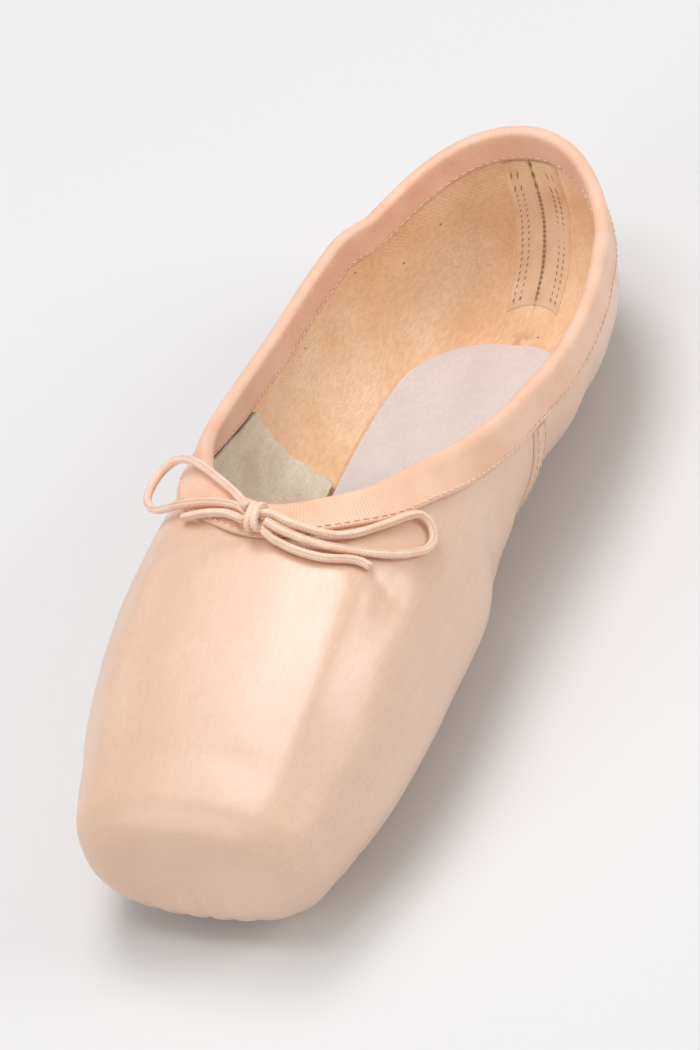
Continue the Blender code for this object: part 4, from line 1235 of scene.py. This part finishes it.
def add_side_seams(satin, thread):
    sole_half = float(smooth(SOLE, 1, SEAM_FOOT)) * BALL_WIDTH / 2
    low = float(turn_at_width(SEAM_FOOT, sole_half + 2 * GAP))
    share = np.linspace(0, 1, SEAM_ROWS)

    def row(offset):
        foot, top = run_of(SEAM_FOOT) + offset, run_of(SEAM_TOP) + offset
        high = marched_turn(top, BINDING_DEPTH + 3 * GAP)
        return np.stack((foot + (top - foot) * share, low + (high - low) * share), axis=-1)

    offsets = np.linspace(-SEAM_WIDTH / 2, SEAM_WIDTH / 2, SEAM_COLUMNS)
    grid = np.array([row(offset) for offset in offsets])
    middle = row(0.0)

    def outside(run, turn):
        side = np.interp(np.minimum(turn, 2 - turn), middle[:, 1], middle[:, 0])
        fold = bell(run - side, 0.5 * MM)
        thick = 0.2 + 0.8 * step(SEAM_WIDTH / 2 - np.abs(run - side), 0, 1.2 * MM)
        return satin_height(run, turn) + (GAP + STRIP_FABRIC * (1 - 0.5 * fold)) * thick

    grids = both_sides(grid)
    for name, one in (("seam_strip_right", grids[0]), ("seam_strip_left", grids[1])):
        made = shell(name, [one], outside, satin_height, (satin, satin, satin))
        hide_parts("side_seam_right" if name.endswith("right") else "side_seam_left")
    rows = []
    for offset in (-SEAM_OFFSET, SEAM_OFFSET):
        run, turn = row(offset).T
        line = layer_point(run, turn, satin_height(run, turn) + GAP + STRIP_FABRIC + 0.06 * MM)
        rows.append((line, normal(run, turn)))
    add_stitches("seam_stitches", rows, *SEAM_STITCHES, thread)


# Columns of dashes up the tape: where each dash starts and ends, as shares of the tape's half width,
# and the step from one dash to the next in turns
TAPE_DASHES = ((0.80, 0.74, 0.0200), (0.58, 0.52, 0.0200), (0.03, 0.03, 0.0160))


def add_heel_tape(tape, thread):
    high = marched_turn(BACK_CENTRE, BINDING_INSIDE + 3 * GAP)
    turn = np.linspace(TAPE_TURN, high, TAPE_ROWS)
    radius = back_radius(turn)
    grid = grid_of(fan_runs(TAPE_WIDTH / 2 / radius, np.linspace(0, 1, TAPE_COLUMNS)), turn[:, None])
    top = -UPPER_WALL - GAP

    def inside(run, turn):
        angle = (BACK_CENTRE - run) / HEEL_RUN * np.pi / 2
        reach = angle * BACK_LENGTH
        low = np.minimum(turn, 2 - turn) - TAPE_TURN
        thick = step(1 - angle * back_radius(turn) / (TAPE_WIDTH / 2), 0, 0.16) * step(low, 0, 0.05)
        cloth = (GAP + STRIP_FABRIC) * thick + 0.02 * MM
        return lining_height(run, turn) - cloth + 0.45 * MM * bell(reach, 0.6 * MM) * thick

    def outside(run, turn):
        return lining_height(run, turn) + 0.1 * MM

    made = shell("heel_tapes", both_sides(grid), outside, inside, (tape, tape, tape))
    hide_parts("heel_tape")
    dashes = []
    for share_start, share_end, pitch in TAPE_DASHES:
        at = np.arange(turn[0] + pitch, turn[-1] - pitch / 2, pitch)
        half_angle = TAPE_WIDTH / 2 / np.interp(at, turn, radius)
        run = fan_runs(half_angle, np.linspace(share_start, share_end, 4))
        across = at[:, None] + np.linspace(0, pitch / 2, 4)
        dashes.append((layer_point(run, across, np.full(run.shape, top - STRIP_FABRIC - 0.04 * MM)),
                       -normal(run, across)))
    lines, ups = mirror_threads(*(np.concatenate(part) for part in zip(*dashes)))
    add_tubes("tape_stitches", lines, ups, TAPE_THREAD, thread)


# Where the two strands pass through the knot, in cord diameters from its middle
UPPER_PASS = (0.0, 0.05, 0.35)
LOWER_PASS = (0.0, -0.20, -0.85)
# The knot's two wraps: where each lies across and how far it leans, then their size in cord
# diameters, and how far they go round to each side of the top
WRAPS = ((-0.48, 0.16), (0.48, -0.16))
WRAP_LENGTH, WRAP_HEIGHT, WRAP_RADIUS, WRAP_TURN = 1.43, 1.00, 0.47, 0.80 * np.pi


def soft_line(points, spacing):
    """Points at equal steps along a soft curve through these points."""
    points = np.array(points)
    along = lengths_along(points)
    table = np.column_stack((along, points))
    fine = np.linspace(0, along[-1], 60 * len(points))
    curve = np.stack([smooth(table, column, fine) for column in (1, 2, 3)], axis=-1)
    way = lengths_along(curve)
    even = np.linspace(0, way[-1], int(np.ceil(way[-1] / spacing)) + 1)
    return read_along(even, way, curve), way[-1]


def tube_rings(line, radius, start_side):
    """Rings round a line, with the frame carried along it so that it doesn't twist."""
    ahead = unit(np.gradient(line, axis=0))
    side = np.array(start_side, float)
    rings = []
    angle = np.linspace(0, 2 * np.pi, CORD_SIDES, endpoint=False)
    for place, way in zip(line, ahead):
        side = unit(side - way * np.dot(side, way))
        up = np.cross(way, side)
        rings.append(place + radius * (np.outer(np.cos(angle), side) + np.outer(np.sin(angle), up)))
    return np.array(rings)


def tube_cloth(along):
    """The cloth attribute of a tube's rings, from how far along it each ring lies."""
    around = np.linspace(0, 2 * np.pi, CORD_SIDES, endpoint=False)
    return np.stack(np.broadcast_arrays(along[:, None], around, 0.0), axis=-1).reshape(-1, 3)


def add_cord(name, points, cord, core):
    line, length = soft_line(points, CORD_STEP)
    rings = tube_rings(line, CORD_DIAMETER / 2, (0, 0, 1))
    cloth = tube_cloth(np.linspace(0, length, len(line)))
    slots = np.concatenate((np.zeros((len(line) - 1) * CORD_SIDES, int), (1, 1)))
    made = add_loft(name, rings, (cord, core), False, slots, cloth)
    return made, line, length


def add_bow(cord, core):
    right_points = np.concatenate((
        [exit_point("right_loop_lower")], route_points(RIGHT_LOOP), [exit_point("right_loop_upper")],
        [knot_point(*UPPER_PASS)], [exit_point("left_end")], route_points(LEFT_END),
    ))
    left_points = np.concatenate((
        [exit_point("left_loop_far")], route_points(LEFT_LOOP), [exit_point("left_loop_near")],
        [knot_point(*LOWER_PASS)], [exit_point("right_end")], route_points(RIGHT_END),
    ))
    right, right_line, right_length = add_cord("drawstring_right", right_points, cord, core)
    left, left_line, left_length = add_cord("drawstring_left", left_points, cord, core)
    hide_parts("bow_loop_right", "drawstring_end_left")
    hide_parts("bow_loop_left", "drawstring_end_right")
    points, faces, cloth, start = [], [], [], 0
    for offset, lean in WRAPS:
        line = [knot_point(offset + lean * np.cos(a), WRAP_LENGTH * np.sin(a), WRAP_HEIGHT * np.cos(a))
                for a in np.linspace(-WRAP_TURN, WRAP_TURN, 15)]
        ring = tube_rings(soft_line(line, WRAP_STEP)[0], WRAP_RADIUS * CORD_DIAMETER, (1, 0, 0))
        index = start + np.arange(len(ring) * CORD_SIDES).reshape(len(ring), CORD_SIDES)
        here, there = index[:-1], index[1:]
        quads = quads_of(here, np.roll(here, -1, axis=1), np.roll(there, -1, axis=1), there)
        faces += quads.tolist() + [index[0][::-1].tolist(), index[-1].tolist()]
        points.append(ring.reshape(-1, 3))
        cloth.append(tube_cloth(np.arange(len(ring)) * WRAP_STEP))
        start += index.size
    points, cloth = np.concatenate(points), np.concatenate(cloth)
    knot = add_mesh("drawstring_knot", points, faces, (cord,), cloth=cloth)
    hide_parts("bow_knot")


def add_stage():
    corners = [(x * FLOOR_REACH, y * FLOOR_REACH, 0) for x, y in ((-1, -1), (1, -1), (1, 1), (-1, 1))]
    mesh = bpy.data.meshes.new("floor")
    mesh.from_pydata(corners, [], [(0, 1, 2, 3)])
    mesh.materials.append(floor_material())
    floor = bpy.data.objects.new("floor", mesh)
    bpy.context.scene.collection.objects.link(floor)
    world = bpy.data.worlds.new("studio")
    world.use_nodes = True
    sky = world.node_tree.nodes["Background"]
    sky.inputs["Color"].default_value = WORLD_TINT
    sky.inputs["Strength"].default_value = WORLD_POWER
    bpy.context.scene.world = world
    for name, place, size, power, tint in LAMPS:
        light = bpy.data.lights.new(name, "AREA")
        light.shape, light.size, light.energy, light.color = "SQUARE", size, power, tint
        lamp = bpy.data.objects.new(name, light)
        lamp.location = place
        lamp.rotation_mode = "QUATERNION"
        lamp.rotation_quaternion = (Vector(CAMERA_TARGET) - Vector(place)).to_track_quat("-Z", "Y")
        bpy.context.scene.collection.objects.link(lamp)
    bpy.context.scene.view_settings.view_transform = "Standard"


make_camera()
satin = satin_material()
ribbon = ribbon_material()
thread = thread_material("thread", srgb(252, 222, 198))
add_bow(cord_material(), cut_end_material())
add_upper(satin, lining_material())
collar_runs, collar_turns, collar_down = add_binding(ribbon)
add_binding_stitches(collar_runs, collar_turns, collar_down, thread)
add_toe_box(canvas_material())
add_insole(suede_material())
add_outsole(leather_material("leather", srgb(178, 128, 98), srgb(203, 152, 120), 0.6),
            leather_material("leather_edge", srgb(205, 165, 130), srgb(228, 192, 160), 0.7))
add_back_stay(satin, thread)
add_side_seams(satin, thread)
add_heel_tape(tape_material(), thread_material("tape_thread", srgb(172, 128, 88)))
add_stage()
